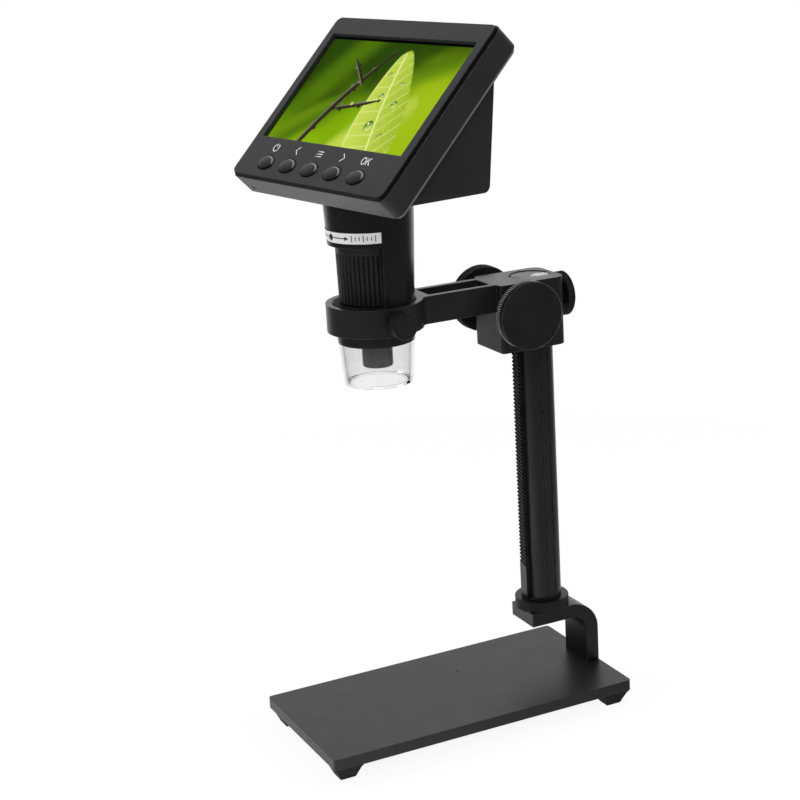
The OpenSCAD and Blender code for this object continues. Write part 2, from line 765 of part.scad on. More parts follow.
// Thumb screw with concentric rings in its face
module ring_screw() {
    ring_shares = [0.3, 0.62];               // radii of the rings, as shares of the head's
    ring_cut = 0.1;
    ring_half = 0.12;
    from = thumb_pad_x + pad_l + brake_rest;
    head = ring_r + thumb_gap;
    color([0.12, 0.12, 0.13]) translate([from, thumb_y, ring_mid_z]) rotate([0, 90, 0]) difference() {
        union() {
            cylinder(h = head - from + over, r = thumb_thread_r);
            translate([0, 0, head - from]) ribbed_disc(thumb_r, thumb_t, thumb_ribs, fine_rib_depth);
            translate([0, 0, ring_r - from + move_gap])
                cylinder(h = thumb_gap - move_gap + over, r = thumb_r*0.72);
        }
        for (r = thumb_r*ring_shares) translate([0, 0, head - from + thumb_t - ring_cut]) difference() {
            cylinder(h = over, r = r + ring_half);
            cylinder(h = over, r = r - ring_half);
        }
    }
}

// ---------------------------------------------------------------- microscope tube

// Half space behind the bezel's back plane
module behind_bezel() {
    on_face() translate([-face_w, -2*face_w, -4*face_w - flange_back])
        cube([2*face_w, 4*face_w, 4*face_w]);
}

// Tapered tube with the focus window in front and a neck into the screen housing
module tube_body() {
    collar_z = wedge_floor + wedge_wall + run_fit;
    window_r = 2*tube_r1;
    color([0.1, 0.1, 0.11]) difference() {
        intersection() {
            head_turned() translate([0, 0, tube_z]) {
                cylinder(h = tube_l, r1 = tube_r0, r2 = tube_r1, $fn = 96);
                cylinder(h = collar_z + neck_collar_h - tube_z, r = neck_r);
                translate([0, 0, collar_z - tube_z]) cylinder(h = neck_collar_h, r = neck_collar_r);
            }
            behind_bezel();
        }
        head_turned() {
            translate([0, 0, tube_z - over]) cylinder(h = window_up + over, r = lower_bore_r);
            translate([0, 0, window_z - 0.01])
                cylinder(h = wheel_top + move_gap - window_z, r = wheel_room_r);
            translate([0, 0, wheel_top + move_gap - 0.02])
                cylinder(h = sensor_z + board_t - wheel_top - move_gap + 0.02, r = upper_bore_r);
            translate([0, 0, sensor_z]) cylinder(h = 2*neck_r, r = neck_r - 1.2);
            front_sector(window_r, window_angle, window_z, window_z + window_h);
        }
    }
}

label_t = 0.15;

// Thin strip bent round the tube's front
module label_strip() {
    color([0.8, 0.8, 0.8]) head_turned() intersection() {
        translate([0, 0, tube_z + label_up]) difference() {
            cylinder(h = label_h, r1 = tube_r(label_up) + fix_fit + label_t,
                r2 = tube_r(label_up + label_h) + fix_fit + label_t, $fn = 96);
            translate([0, 0, -over]) cylinder(h = label_h + 2*over, r1 = tube_r(label_up - over) + fix_fit,
                r2 = tube_r(label_up + label_h + over) + fix_fit, $fn = 96);
        }
        front_sector(2*tube_r1, label_angle, tube_z, tube_top);
    }
}

// Tapered wheel with long flutes below a smooth band
module focus_wheel() {
    wheel_h = wheel_top - wheel_bottom;
    slope = atan((wheel_r1 - wheel_r0)/wheel_h);
    flute_r = 0.6;
    color([0.1, 0.1, 0.11]) head_turned() translate([0, 0, wheel_bottom]) difference() {
        cylinder(h = wheel_h, r1 = wheel_r0, r2 = wheel_r1, $fn = 90);
        translate([0, 0, -over]) cylinder(h = wheel_h + 2*over, r = wheel_bore_r);
        for (i = [0 : wheel_flutes - 1]) rotate([0, 0, i*360/wheel_flutes])
            translate([wheel_r0 + 0.15, 0, 0]) rotate([0, slope, 0]) translate([0, 0, -over])
                cylinder(h = wheel_h - wheel_band + over, r = flute_r, $fn = 16);
    }
}

// Barrel that slides in the wheel, with the lens nose below it
module lens_barrel() {
    nose_z = tube_z - nose_drop;
    color([0.3, 0.3, 0.31]) head_turned() difference() {
        union() {
            translate([0, 0, barrel_z]) cylinder(h = barrel_l, r = barrel_r);
            translate([0, 0, nose_z + 0.4]) cylinder(h = barrel_z - nose_z, r = nose_r);
            translate([0, 0, nose_z]) cylinder(h = 0.4, r1 = nose_r - 0.4, r2 = nose_r);
        }
        translate([0, 0, nose_z - over]) cylinder(h = barrel_z + 2, r = lens_bore_r);
        translate([0, 0, barrel_z + 2]) cylinder(h = barrel_l, r = barrel_r - 1.5);
    }
}

module objective_lens() {
    lens_t = 2.4;
    dome_r = 9;
    sag = dome_r - sqrt(dome_r*dome_r - pow(lens_bore_r - fix_fit, 2));
    color([0.7, 0.8, 0.85]) head_turned() translate([0, 0, tube_z - nose_drop + 1.2]) intersection() {
        cylinder(h = lens_t, r = lens_bore_r - fix_fit);
        translate([0, 0, dome_r + lens_t/2 - sag/2 - 1]) sphere(dome_r);
    }
}

// Ring board for the lamps, pressed up under the tube's inner step
module led_board() {
    color([0.1, 0.35, 0.2]) head_turned() translate([0, 0, led_ring_z]) difference() {
        cylinder(h = board_t, r = lower_bore_r - fix_fit);
        translate([0, 0, -over]) cylinder(h = board_t + 2*over, r = nose_r + move_gap + led_room);
    }
}

module leds() {
    count = 8;
    led_h = 0.9;
    led_w = 2.8;
    color([0.95, 0.93, 0.75]) head_turned() for (i = [0 : count - 1]) rotate([0, 0, i*360/count])
        translate([(nose_r + lower_bore_r)/2 + led_room - led_w/2, -led_w/2, led_ring_z - led_h])
            cube([led_w, led_w, led_h]);
}

sensor_drop = 8;                             // the sensor board under the tube's top
sensor_z = tube_top - sensor_drop;

// Round board with the image sensor facing down
module sensor_board() {
    chip_w = 8;
    chip_t = 1.2;
    color([0.1, 0.35, 0.2]) head_turned() translate([0, 0, sensor_z - board_t]) {
        cylinder(h = board_t, r = upper_bore_r - fix_fit);
        translate([-chip_w/2, -chip_w/2, -chip_t]) cube([chip_w, chip_w, chip_t]);
    }
}

// ---------------------------------------------------------------- clear cap

// Tapered clear hood: rounded lower edge, inner flange, spigot into the tube
module clear_cap() {
    top_r = tube_r0 - 0.1;
    slope = atan((top_r - cap_r)/(cap_h - cap_edge_r));
    in_edge = cap_wall*0.6;
    floor_t = cap_wall*0.55;
    from = tube_z - cap_h;
    color([0.9, 0.93, 0.95, 0.4]) head_turned() translate([0, 0, from]) difference() {
        union() {
            cap_form(cap_r, top_r, cap_h, cap_edge_r, slope);
            cylinder(h = cap_h + spigot_h, r = lower_bore_r - run_fit);
        }
        translate([0, 0, floor_t])
            cap_form(cap_r - cap_wall, top_r - cap_wall, cap_h - floor_t, in_edge, slope);
        translate([0, 0, -over]) cylinder(h = cap_h, r = cap_mouth_r);
        translate([0, 0, cap_h - over])
            cylinder(h = spigot_h + 2*over, r = lower_bore_r - run_fit - spigot_wall);
    }
}

// Tapered solid with a rounded lower edge that runs into its side without a break
module cap_form(r0, r1, h, edge_r, slope) {
    edge_c = r0 - edge_r;
    low = edge_r - edge_r*sin(slope);
    translate([0, 0, low]) cylinder(h = h - low, r1 = edge_c + edge_r*cos(slope), r2 = r1, $fn = 96);
    rotate_extrude($fn = 96) intersection() {
        translate([edge_c, edge_r]) circle(edge_r);
        translate([edge_c, 0]) square([edge_r, low]);
    }
    cylinder(h = edge_r, r = edge_c, $fn = 96);
}

// ---------------------------------------------------------------- screen housing

module screen_place() {
    translate([0, screen_up, 0]) children();
}

module button_places() {
    for (i = [-2 : 2]) button_place(i) children();
}

module button_place(i) {
    translate([i*button_pitch - button_left, -button_down, 0]) children();
}

module post_places() {
    for (x = [-1, 1], y = [-1, 1]) translate([x*post_u, y*post_v, 0]) children();
}

key_post_edge = 2;                           // a post's axis inside the key board's end
key_post_u = key_board_w/2 - key_post_edge;
key_post_r = post_r - 0.4;

// Front shell: sloped edge, screen opening, five button holes, screw posts
module front_bezel() {
    mic_r = 0.9;
    mic_u = 45.2;
    mic_w = 8.7;
    step = 0.15;
    color([0.2, 0.2, 0.21]) on_face() difference() {
        union() {
            difference() {
                union() {
                    rounded_block(bezel_w, bezel_h, bezel_corner_r, -bezel_depth, -edge_drop);
                    translate([0, 0, -edge_drop]) sloped_block(bezel_w - 2*bezel_corner_r,
                        bezel_h - 2*bezel_corner_r, bezel_corner_r - step,
                        bezel_corner_r - edge_run, edge_drop);
                }
                rounded_block(inner_w, inner_h, bezel_corner_r - bezel_wall,
                    -bezel_depth - over, -bezel_wall);
            }
            post_places() translate([0, 0, -bezel_depth])
                cylinder(h = bezel_depth - bezel_wall + over/2, r = post_r);
            for (x = [-1, 1]) translate([x*key_post_u - button_left, -button_down, key_board_front])
                cylinder(h = -key_board_front - bezel_wall + over/2, r = key_post_r);
        }
        screen_place() rounded_block(screen_w, screen_h, 0.3, -bezel_wall - over, over);
        button_places() translate([0, 0, -bezel_wall - over]) linear_extrude(bezel_wall + 2*over)
            oval(button_l + 2*button_gap, button_h + 2*button_gap, button_end_r + button_gap);
        post_places() translate([0, 0, -bezel_depth - over])
            cylinder(h = screw_l, r = screw_r + fix_fit);
        translate([-mic_u, -bezel_h/2 - over, -mic_w]) rotate([-90, 0, 0])
            cylinder(h = bezel_wall + 2*over, r = mic_r);
    }
}

// Cover glass behind the opening; its face shows the picture
module lcd_glass() {
    color([0.45, 0.7, 0.1]) on_face() screen_place()
        rounded_block(glass_w, glass_h, 0.5, -bezel_wall - glass_t, -bezel_wall);
}

module lcd_module() {
    back = -bezel_wall - glass_t - module_t;
    color([0.6, 0.6, 0.62]) on_face() screen_place()
        rounded_block(module_w, module_h, 1, back, -bezel_wall - glass_t);
}

// Strip board with one switch under each button
module key_board() {
    low = -inner_h/2 + move_gap;
    color([0.1, 0.35, 0.2]) on_face() {
        translate([-key_board_w/2 - button_left, low, key_board_front - board_t])
            cube([key_board_w, key_board_high - low, board_t]);
        button_places() translate([-switch_w/2, -switch_w/2, key_board_front])
            cube([switch_w, switch_w, switch_h]);
    }
}

stem_gap = 0.1;                              // left over a switch when its key is pressed

// One button: oval cap with a low dome, a stop flange and a stem over its switch
module button(i) {
    top = 0.1;
    flange_z = -bezel_wall - move_gap - button_flange_t;
    stem_z = key_board_front + switch_h + button_travel + stem_gap;
    color([0.17, 0.17, 0.18]) on_face() button_place(i) {
        translate([0, 0, flange_z]) linear_extrude(top - flange_z)
            oval(button_l, button_h, button_end_r);
        translate([0, 0, top]) hull() for (k = [0 : 3]) translate([0, 0, button_dome*sin(k*28)])
            linear_extrude(0.01) scale(cos(k*28)) oval(button_l, button_h, button_end_r, $fn = 24);
        translate([0, 0, flange_z]) linear_extrude(button_flange_t)
            oval(button_l + 2*button_flange, button_h + 2*button_flange, button_end_r + button_flange);
        translate([0, 0, stem_z]) cylinder(h = flange_z - stem_z + over/2, r = button_stem_r);
    }
}

module button_power() {
    button(-2);
}

module button_left_arrow() {
    button(-1);
}

module button_menu() {
    button(0);
}

module button_right_arrow() {
    button(1);
}

module button_ok() {
    button(2);
}

module main_board() {
    color([0.1, 0.35, 0.2]) on_face()
        translate([-board_w/2, board_low, board_front - board_t])
            cube([board_w, board_high - board_low, board_t]);
}

module battery() {
    cell = [board_w*0.64, (board_high - board_low)*0.55, 7];
    color([0.75, 0.76, 0.78]) on_face()
        translate([-cell[0]/2, board_low + cell[1]*0.41, board_front - board_t - move_gap - cell[2]])
            cube(cell);
}

usb = [6, 7.6, 2.6];
card = [14, 12, 1.5];
reach_out = 0.2;                             // sockets stop this far inside the wall's face

// Hollow metal shell of the charging socket, open to the left
module usb_socket() {
    shell_t = 0.4;
    color([0.75, 0.75, 0.77]) on_face()
        translate([-wedge_w/2 + reach_out, usb_v - usb[1]/2, board_front]) difference() {
            cube(usb);
            translate([-over, shell_t, shell_t])
                cube([usb[0] - shell_t + over - 1, usb[1] - 2*shell_t, usb[2] - 2*shell_t]);
        }
}

module card_slot() {
    shell_t = 0.3;
    color([0.75, 0.75, 0.77]) on_face()
        translate([-wedge_w/2 + reach_out, card_v - card[1]/2, board_front]) difference() {
            cube(card);
            translate([-over, shell_t, shell_t])
                cube([card[0] - 2 + over, card[1] - 2*shell_t, card[2] - 2*shell_t]);
        }
}

// Thumb wheel for the lamps, on a peg of the main board's front
module dimmer_wheel() {
    notches = 24;
    peg_r = 1.5;
    color([0.12, 0.12, 0.13]) on_face() translate([dimmer_u, dimmer_v, dimmer_w]) {
        linear_extrude(dimmer_t) polygon([for (i = [0 : 2*notches - 1])
            let (a = 180*i/notches, q = dimmer_r - (i % 2)*rib_depth) [q*cos(a), q*sin(a)]]);
        translate([0, 0, run_fit - dimmer_lift]) cylinder(h = dimmer_lift, r = peg_r);
    }
}

// Where two lines meet, each given by two points
function cross2(a, b) = a[0]*b[1] - a[1]*b[0];
function meet(p, q, r, s) = p + (q - p)*cross2(r - p, s - r)/cross2(q - p, s - r);

// Wedge seen from its side, its lower rear corner an arc; its front reaches into the flange
module wedge_outline() {
    front_w = flange_t/2 - flange_back;
    to_front = [-1, 0];
    to_high = (wedge_high - wedge_low_rear)/norm(wedge_high - wedge_low_rear);
    half = acos(to_front*to_high)/2;
    touch = wedge_corner_r/tan(half);
    middle = (to_front + to_high)/norm(to_front + to_high);
    polygon([head_at(wedge_front_v, front_w), wedge_low_front, wedge_low_rear + touch*to_front,
             wedge_low_rear + touch*to_high, wedge_high, head_at(wedge_top, front_w)]);
    translate(wedge_low_rear + middle*wedge_corner_r/sin(half)) circle(wedge_corner_r);
}

// Inside of the wedge, seen from its side: the outline moved in by the wall
module wedge_room_outline() {
    rear_dir = (wedge_high - wedge_low_rear)/norm(wedge_high - wedge_low_rear);
    rear_in = wedge_low_rear + wedge_wall*[-rear_dir[1], rear_dir[0]];
    floor_in = [0, wedge_floor + wedge_wall];
    low_v = wedge_front_v + lip;
    high_v = wedge_top - lip;
    polygon([head_at(low_v, 0), head_at(high_v, 0),
             meet(head_at(high_v, 0), head_at(high_v, -1), rear_in, rear_in + rear_dir),
             meet(rear_in, rear_in + rear_dir, floor_in, floor_in + [1, 0]),
             meet(head_at(low_v, 0), head_at(low_v, -1), floor_in, floor_in + [1, 0])]);
}

// Prism across the head, from an outline in the plane of the tube's axis
module across_head(w) {
    head_turned() translate([-w/2, 0, 0]) rotate([90, 0, 90]) linear_extrude(w) children();
}

// Sloping facet that takes off the wedge's lower side edge, wider towards the front
module edge_facet() {
    rise = 3.8;
    run = 0.9;
    depth = wedge_back - wedge_low_front[0];
    swing = atan(run/depth);
    lean = atan(run/rise);
    head_turned() for (side = [0, 1]) mirror([side, 0, 0])
        translate([wedge_w/2, wedge_back, wedge_floor]) rotate([0, 0, -swing])
            rotate([0, lean, 0]) translate([0, -2*depth, -2*rise])
                cube([4*rise, 2*depth, 4*rise]);
}

module rear_housing() {
    rail = [1.5 + over, board_high - board_low, 2];
    slot_t = 2*over + wedge_wall;
    side_in = wedge_w/2 - wedge_wall;
    left = -side_in + over - slot_t;
    color([0.13, 0.13, 0.14]) difference() {
        union() {
            on_face() translate([0, 0, -bezel_depth]) mirror([0, 0, 1])
                sloped_block(bezel_w - 2*bezel_corner_r, bezel_h - 2*bezel_corner_r,
                    bezel_corner_r - flange_step, bezel_corner_r - flange_step - flange_run, flange_t);
            difference() {
                across_head(wedge_w) wedge_outline();
                edge_facet();
            }
        }
        difference() {
            intersection() {
                across_head(wedge_w - 2*wedge_wall) wedge_room_outline();
                on_face() translate([-wedge_w, -wedge_w, -2*wedge_w - bezel_depth + over])
                    cube([2*wedge_w, 2*wedge_w, 2*wedge_w]);
            }
            on_face() for (x = [-side_in - over, side_in + over - rail[0]])
                translate([x, board_low, board_front - board_t - rail[2]]) cube(rail);
        }
        // neck of the tube, and the slots of the left side
        head_turned() translate([0, 0, wedge_floor - over])
            cylinder(h = wedge_wall + 2*over, r = neck_r + fix_fit);
        on_face() {
            translate([left, usb_v - usb[1]/2 - fix_fit, board_front - fix_fit])
                cube([slot_t, usb[1] + 2*fix_fit, usb[2] + 2*fix_fit]);
            translate([left, card_v - card[1]/2 - fix_fit, board_front - fix_fit])
                cube([slot_t, card[1] + 2*fix_fit, card[2] + 2*fix_fit]);
            translate([dimmer_u, dimmer_v, dimmer_w - move_gap])
                cylinder(h = dimmer_t + 2*move_gap, r = dimmer_r + move_gap);
            post_places() translate([0, 0, -flange_back]) countersunk(screw_r + fix_fit,
                screw_head_r + fix_fit, screw_head_t, flange_t + over);
        }
    }
}

module housing_screws() {
    color([0.3, 0.3, 0.31]) on_face() post_places() translate([0, 0, -flange_back])
        countersunk(screw_r, screw_head_r, screw_head_t, screw_l);
}

// ---------------------------------------------------------------- nodes

base_plate();
rubber_feet();
c_bracket();
bracket_screws();
column();
gear_rack();
column_bolt();
lock_collar();
arm_carriage();
shaft_bushes();
pinion_shaft();
pinion_gear();
drive_knob_right();
drive_knob_left();
brake_pad();
clamp_knob();
ring_pad();
ring_screw();
tube_body();
label_strip();
focus_wheel();
lens_barrel();
objective_lens();
led_board();
leds();
sensor_board();
clear_cap();
front_bezel();
lcd_glass();
lcd_module();
key_board();
main_board();
battery();
usb_socket();
card_slot();
dimmer_wheel();
rear_housing();
housing_screws();
button_power();
button_left_arrow();
button_menu();
button_right_arrow();
button_ok();
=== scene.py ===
"""Looks of a digital microscope with its own screen, on a rack-and-pinion stand.

The CAD nodes keep their shapes and get materials; only the printed marks are made here.
"""

import math

import bmesh
import bpy
from mathutils import Matrix, Vector


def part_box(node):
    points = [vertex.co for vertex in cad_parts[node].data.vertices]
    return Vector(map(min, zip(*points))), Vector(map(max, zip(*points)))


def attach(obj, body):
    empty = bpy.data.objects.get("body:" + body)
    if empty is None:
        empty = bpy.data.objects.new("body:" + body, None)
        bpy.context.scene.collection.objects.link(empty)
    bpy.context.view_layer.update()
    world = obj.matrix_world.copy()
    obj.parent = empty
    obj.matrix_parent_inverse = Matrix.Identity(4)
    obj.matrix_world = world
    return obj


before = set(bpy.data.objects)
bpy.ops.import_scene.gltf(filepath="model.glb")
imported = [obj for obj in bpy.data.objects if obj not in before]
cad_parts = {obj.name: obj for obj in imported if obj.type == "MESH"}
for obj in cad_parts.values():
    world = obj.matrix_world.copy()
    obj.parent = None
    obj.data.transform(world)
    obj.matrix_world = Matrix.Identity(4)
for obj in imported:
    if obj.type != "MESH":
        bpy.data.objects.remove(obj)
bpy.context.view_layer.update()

MM = 0.001

# ------------------------------------------------------------------ camera

# Solved from the vanishing points and corners of the base plate and the screen opening
CAMERA_AT = (655.709, -322.749, 352.742)  # mm
CAMERA_AZIMUTH, CAMERA_ELEVATION, CAMERA_ROLL = 64.893, 16.014, -3.375  # degrees
FOCAL_PIXELS = 1826.212
PHOTO_PIXELS = 800
SENSOR = 36.0
NEAREST, FARTHEST = 0.02, 20.0  # m


def make_camera():
    """The camera that took the photo."""
    angles = (CAMERA_AZIMUTH, CAMERA_ELEVATION, CAMERA_ROLL)
    azimuth, elevation, roll = (math.radians(angle) for angle in angles)
    back = Vector((
        math.sin(azimuth) * math.cos(elevation),
        -math.cos(azimuth) * math.cos(elevation),
        math.sin(elevation),
    ))
    level_right = Vector((0, 0, 1)).cross(back).normalized()
    level_up = back.cross(level_right)
    right = math.cos(roll) * level_right + math.sin(roll) * level_up
    up = back.cross(right)
    turn = Matrix((right, up, back)).transposed().to_4x4()
    data = bpy.data.cameras.new("camera")
    data.sensor_width = SENSOR
    data.lens = FOCAL_PIXELS / PHOTO_PIXELS * SENSOR
    data.clip_start, data.clip_end = NEAREST, FARTHEST
    camera = bpy.data.objects.new("camera", data)
    bpy.context.scene.collection.objects.link(camera)
    camera.matrix_world = Matrix.Translation(Vector(CAMERA_AT) * MM) @ turn
    bpy.context.scene.camera = camera


make_camera()

# ------------------------------------------------------------------ places, in mm


def box_mm(name):
    """A CAD node's lowest and highest corners at rest, to a hundredth of a millimetre."""
    return [Vector([round(c / MM, 2) for c in corner]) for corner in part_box(name)]


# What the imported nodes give
PLATE_HALF = box_mm("base_plate")[1]  # the plate lies about the origin
COLUMN_TOP = box_mm("column")[1].z
COLUMN_AXIS = sum(box_mm("lock_collar"), Vector()) / 2
KNOB_LOW, KNOB_HIGH = box_mm("drive_knob_right")
KNOB_AXIS = (KNOB_LOW + KNOB_HIGH) / 2
KNOB_R = KNOB_AXIS.z - KNOB_LOW.z
LAMPS_LOW = box_mm("leds")[0]
LABEL_LOW, LABEL_HIGH = box_mm("label_strip")
LABEL_MIDDLE = (LABEL_LOW.z + LABEL_HIGH.z) / 2
LABEL_HALF = (LABEL_HIGH.z - LABEL_LOW.z) / 2
WHEEL_LOW, WHEEL_HIGH = box_mm("focus_wheel")
TUBE_AXIS = (0.0, (WHEEL_LOW.y + WHEEL_HIGH.y) / 2, 0.0)
TUBE_Z = box_mm("tube_body")[0].z

# Sizes and angles as the CAD has them
TUBE_L, TUBE_R0, TUBE_R1 = 61.8, 15.7, 18.4  # length, lower and upper radius
WHEEL_R0, WHEEL_R1 = 14.1, 14.5  # at the focus wheel's lower and upper end
FILM_OUT = 0.17  # from the tube's surface to the label's
LABEL_ANGLE = 142.0  # of the tube's girth, in degrees
HEAD_YAW = 9.9  # the head's turn about the tube's axis
FACE_TILT = 44.6  # the screen's face leans back from upright by this angle
FACE_FWD, FACE_RISE = 1.8, 96.44  # the face's centre, from the axis and the tube's end
EDGE_DROP = 1.7  # depth of the bezel's chamfer
FLANGE_BACK = 13.4  # from the face back to the rear side of the housing's flange
KEY_LEFT, KEY_DOWN = 1.4, 33.8  # the middle key, from the face's centre
KEY_PITCH, KEY_L, KEY_H = 15.8, 10.6, 6.8

HEAD = Matrix.Translation(TUBE_AXIS) @ Matrix.Rotation(math.radians(HEAD_YAW), 4, "Z")
FACE = (
    HEAD
    @ Matrix.Translation((0, -FACE_FWD, TUBE_Z + FACE_RISE))
    @ Matrix.Rotation(math.radians(FACE_TILT), 4, "X")
)
FACE_AT = FACE.to_translation()
ACROSS, UP_FACE, OUT = (FACE.to_3x3().col[i].copy() for i in range(3))

RIGHT, UP = (1.0, 0.0, 0.0), (0.0, 0.0, 1.0)
LEVEL = (1.0, 1.0, 0.0)  # keeps what lies across an upright axis

# ------------------------------------------------------------------ node expressions


def linear(r, g, b):
    """A 0-255 display colour as a shader colour."""
    def one(c):
        c /= 255
        return c / 12.92 if c <= 0.04045 else ((c + 0.055) / 1.055) ** 2.4
    return (one(r), one(g), one(b), 1.0)


def scaled(colour, factor):
    """A shader colour made darker or lighter."""
    return tuple(c * factor for c in colour[:3]) + (1.0,)


class Val:
    """A socket that adds, subtracts, multiplies and divides like a number."""

    def __init__(self, graph, socket):
        self.graph, self.socket = graph, socket

    def __add__(self, other):
        return self.graph.math("ADD", self, other)

    def __sub__(self, other):
        return self.graph.math("SUBTRACT", self, other)

    def __mul__(self, other):
        return self.graph.math("MULTIPLY", self, other)

    def __truediv__(self, other):
        return self.graph.math("DIVIDE", self, other)

    def __rsub__(self, other):
        return self.graph.math("SUBTRACT", other, self)

    __radd__, __rmul__ = __add__, __mul__


class Graph:
    """The node tree of a material or the world, built from short expressions."""

    def __init__(self, tree):
        self.tree = tree
        self.point = None

    def put(self, socket, value):
        """Links a socket to a Val, or sets it to a plain value."""
        if isinstance(value, Val):
            self.tree.links.new(value.socket, socket)
        else:
            socket.default_value = value

    def node(self, kind, ins=None, out=0, **settings):
        """A new node: ins are its inputs by name or number, out is the output to read."""
        node = self.tree.nodes.new(kind)
        for name, value in settings.items():
            setattr(node, name, value)
        for key, value in (ins or {}).items():
            self.put(node.inputs[key], value)
        return Val(self, node.outputs[out]) if node.outputs else None

    def math(self, operation, *values):
        """A number worked out from one, two or three others."""
        return self.node("ShaderNodeMath", dict(enumerate(values)), operation=operation)

    def vector(self, operation, *values, out=0):
        """A vector, or with out="Value" a number, worked out from vectors."""
        ins = dict(enumerate(values))
        return self.node("ShaderNodeVectorMath", ins, out, operation=operation)

    def dot(self, a, b):
        """How far vector a reaches along vector b."""
        return self.vector("DOT_PRODUCT", a, b, out="Value")

    def length(self, vector):
        """A vector's length."""
        return self.vector("LENGTH", vector, out="Value")

    def larger(self, a, b):
        """The larger of two numbers."""
        return self.math("MAXIMUM", a, b)

    def distance(self, x, y):
        """How far the point (x, y) lies from zero."""
        return self.math("SQRT", x * x + y * y)

    def pair(self, x, y):
        """The vector (x, y, 0)."""
        return self.node("ShaderNodeCombineXYZ", {0: x, 1: y})

    def part(self, vector, number=0):
        """One coordinate of a vector: 0 right, 1 back, 2 up."""
        return self.node("ShaderNodeSeparateXYZ", {0: vector}, number)

    def step(self, value, low, high, to_low=0.0, to_high=1.0):
        """Smooth step of value from low to high."""
        ins = {0: value, 1: low, 2: high, 3: to_low, 4: to_high}
        return self.node("ShaderNodeMapRange", ins, interpolation_type="SMOOTHSTEP")

    def mix(self, share, a, b):
        """Colour a with a share of colour b; 6, 7 and 2 are the colour sockets."""
        return self.node("ShaderNodeMix", {0: share, 6: a, 7: b}, 2, data_type="RGBA")

    def place(self):
        """The point in millimetres, in the object's own frame."""
        if not self.point:
            at = self.node("ShaderNodeTexCoord", out="Object")
            self.point = self.vector("MULTIPLY", at, (1 / MM,) * 3)
        return self.point

    def axis(self, number):
        """One coordinate of the point, in millimetres."""
        return self.part(self.place(), number)

    def from_axis(self, axis_at, keep):
        """From an axis to the point: keep is 0 along the axis and 1 across it."""
        return self.vector("MULTIPLY", self.vector("SUBTRACT", self.place(), axis_at), keep)

    def along_face(self, way):
        """How far the point lies along one of the face's directions, from its centre."""
        return self.dot(self.vector("SUBTRACT", self.place(), tuple(FACE_AT)), tuple(way))

    def facing(self, way):
        """How far the surface faces a direction of the object's own frame."""
        return self.dot(self.node("ShaderNodeTexCoord", out="Normal"), tuple(way))

    def stretched(self, at, stretch):
        """Where a texture is read: at, or else the point, each axis times its stretch."""
        at = at or self.place()
        return self.vector("MULTIPLY", at, stretch) if stretch else at

    def noise(self, size, detail=2.0, stretch=None, at=None):
        """Noise with features of about that many millimetres."""
        ins = {
            "Vector": self.stretched(at, stretch),
            "Scale": 1.0 / size,
            "Detail": detail,
            "Roughness": 0.55,
        }
        return self.node("ShaderNodeTexNoise", ins)

    def cells(self, size, feature="F1", stretch=None, at=None, out="Distance"):
        """Cells of about that many millimetres."""
        ins = {"Vector": self.stretched(at, stretch), "Scale": 1.0 / size}
        return self.node("ShaderNodeTexVoronoi", ins, out, feature=feature)

    def rays(self, *kinds):
        """1 for a ray of any of these kinds."""
        path = self.tree.nodes.new("ShaderNodeLightPath")
        flags = [Val(self, path.outputs[f"Is {kind} Ray"]) for kind in kinds]
        any_of = flags[0]
        for flag in flags[1:]:
            any_of = self.larger(any_of, flag)
        return any_of


class Surface(Graph):
    """A material on one Principled shader."""

    def __init__(self, name):
        self.material = bpy.data.materials.new(name)
        self.material.use_nodes = True
        super().__init__(self.material.node_tree)
        self.shader = self.tree.nodes["Principled BSDF"]

    def set(self, **values):
        """Sets the shader's inputs, with _ for a space in their names."""
        for key, value in values.items():
            self.put(self.shader.inputs[key.replace("_", " ")], value)

    def bump(self, height, depth, normal=None):
        """The normal over a height map, depth mm deep."""
        ins = {"Height": height, "Distance": depth * MM}
        if normal:
            ins["Normal"] = normal
        return self.node("ShaderNodeBump", ins)


DUST = (150, 150, 148)


def edge_mask(g, radius):
    """1 along sharp edges, within about that many millimetres; also the rounded normal."""
    rounded = g.node("ShaderNodeBevel", {"Radius": radius * MM}, samples=6)
    plain = g.node("ShaderNodeNewGeometry", out="Normal")
    return g.step(1.0 - g.dot(rounded, plain), 0.02, 0.25), rounded


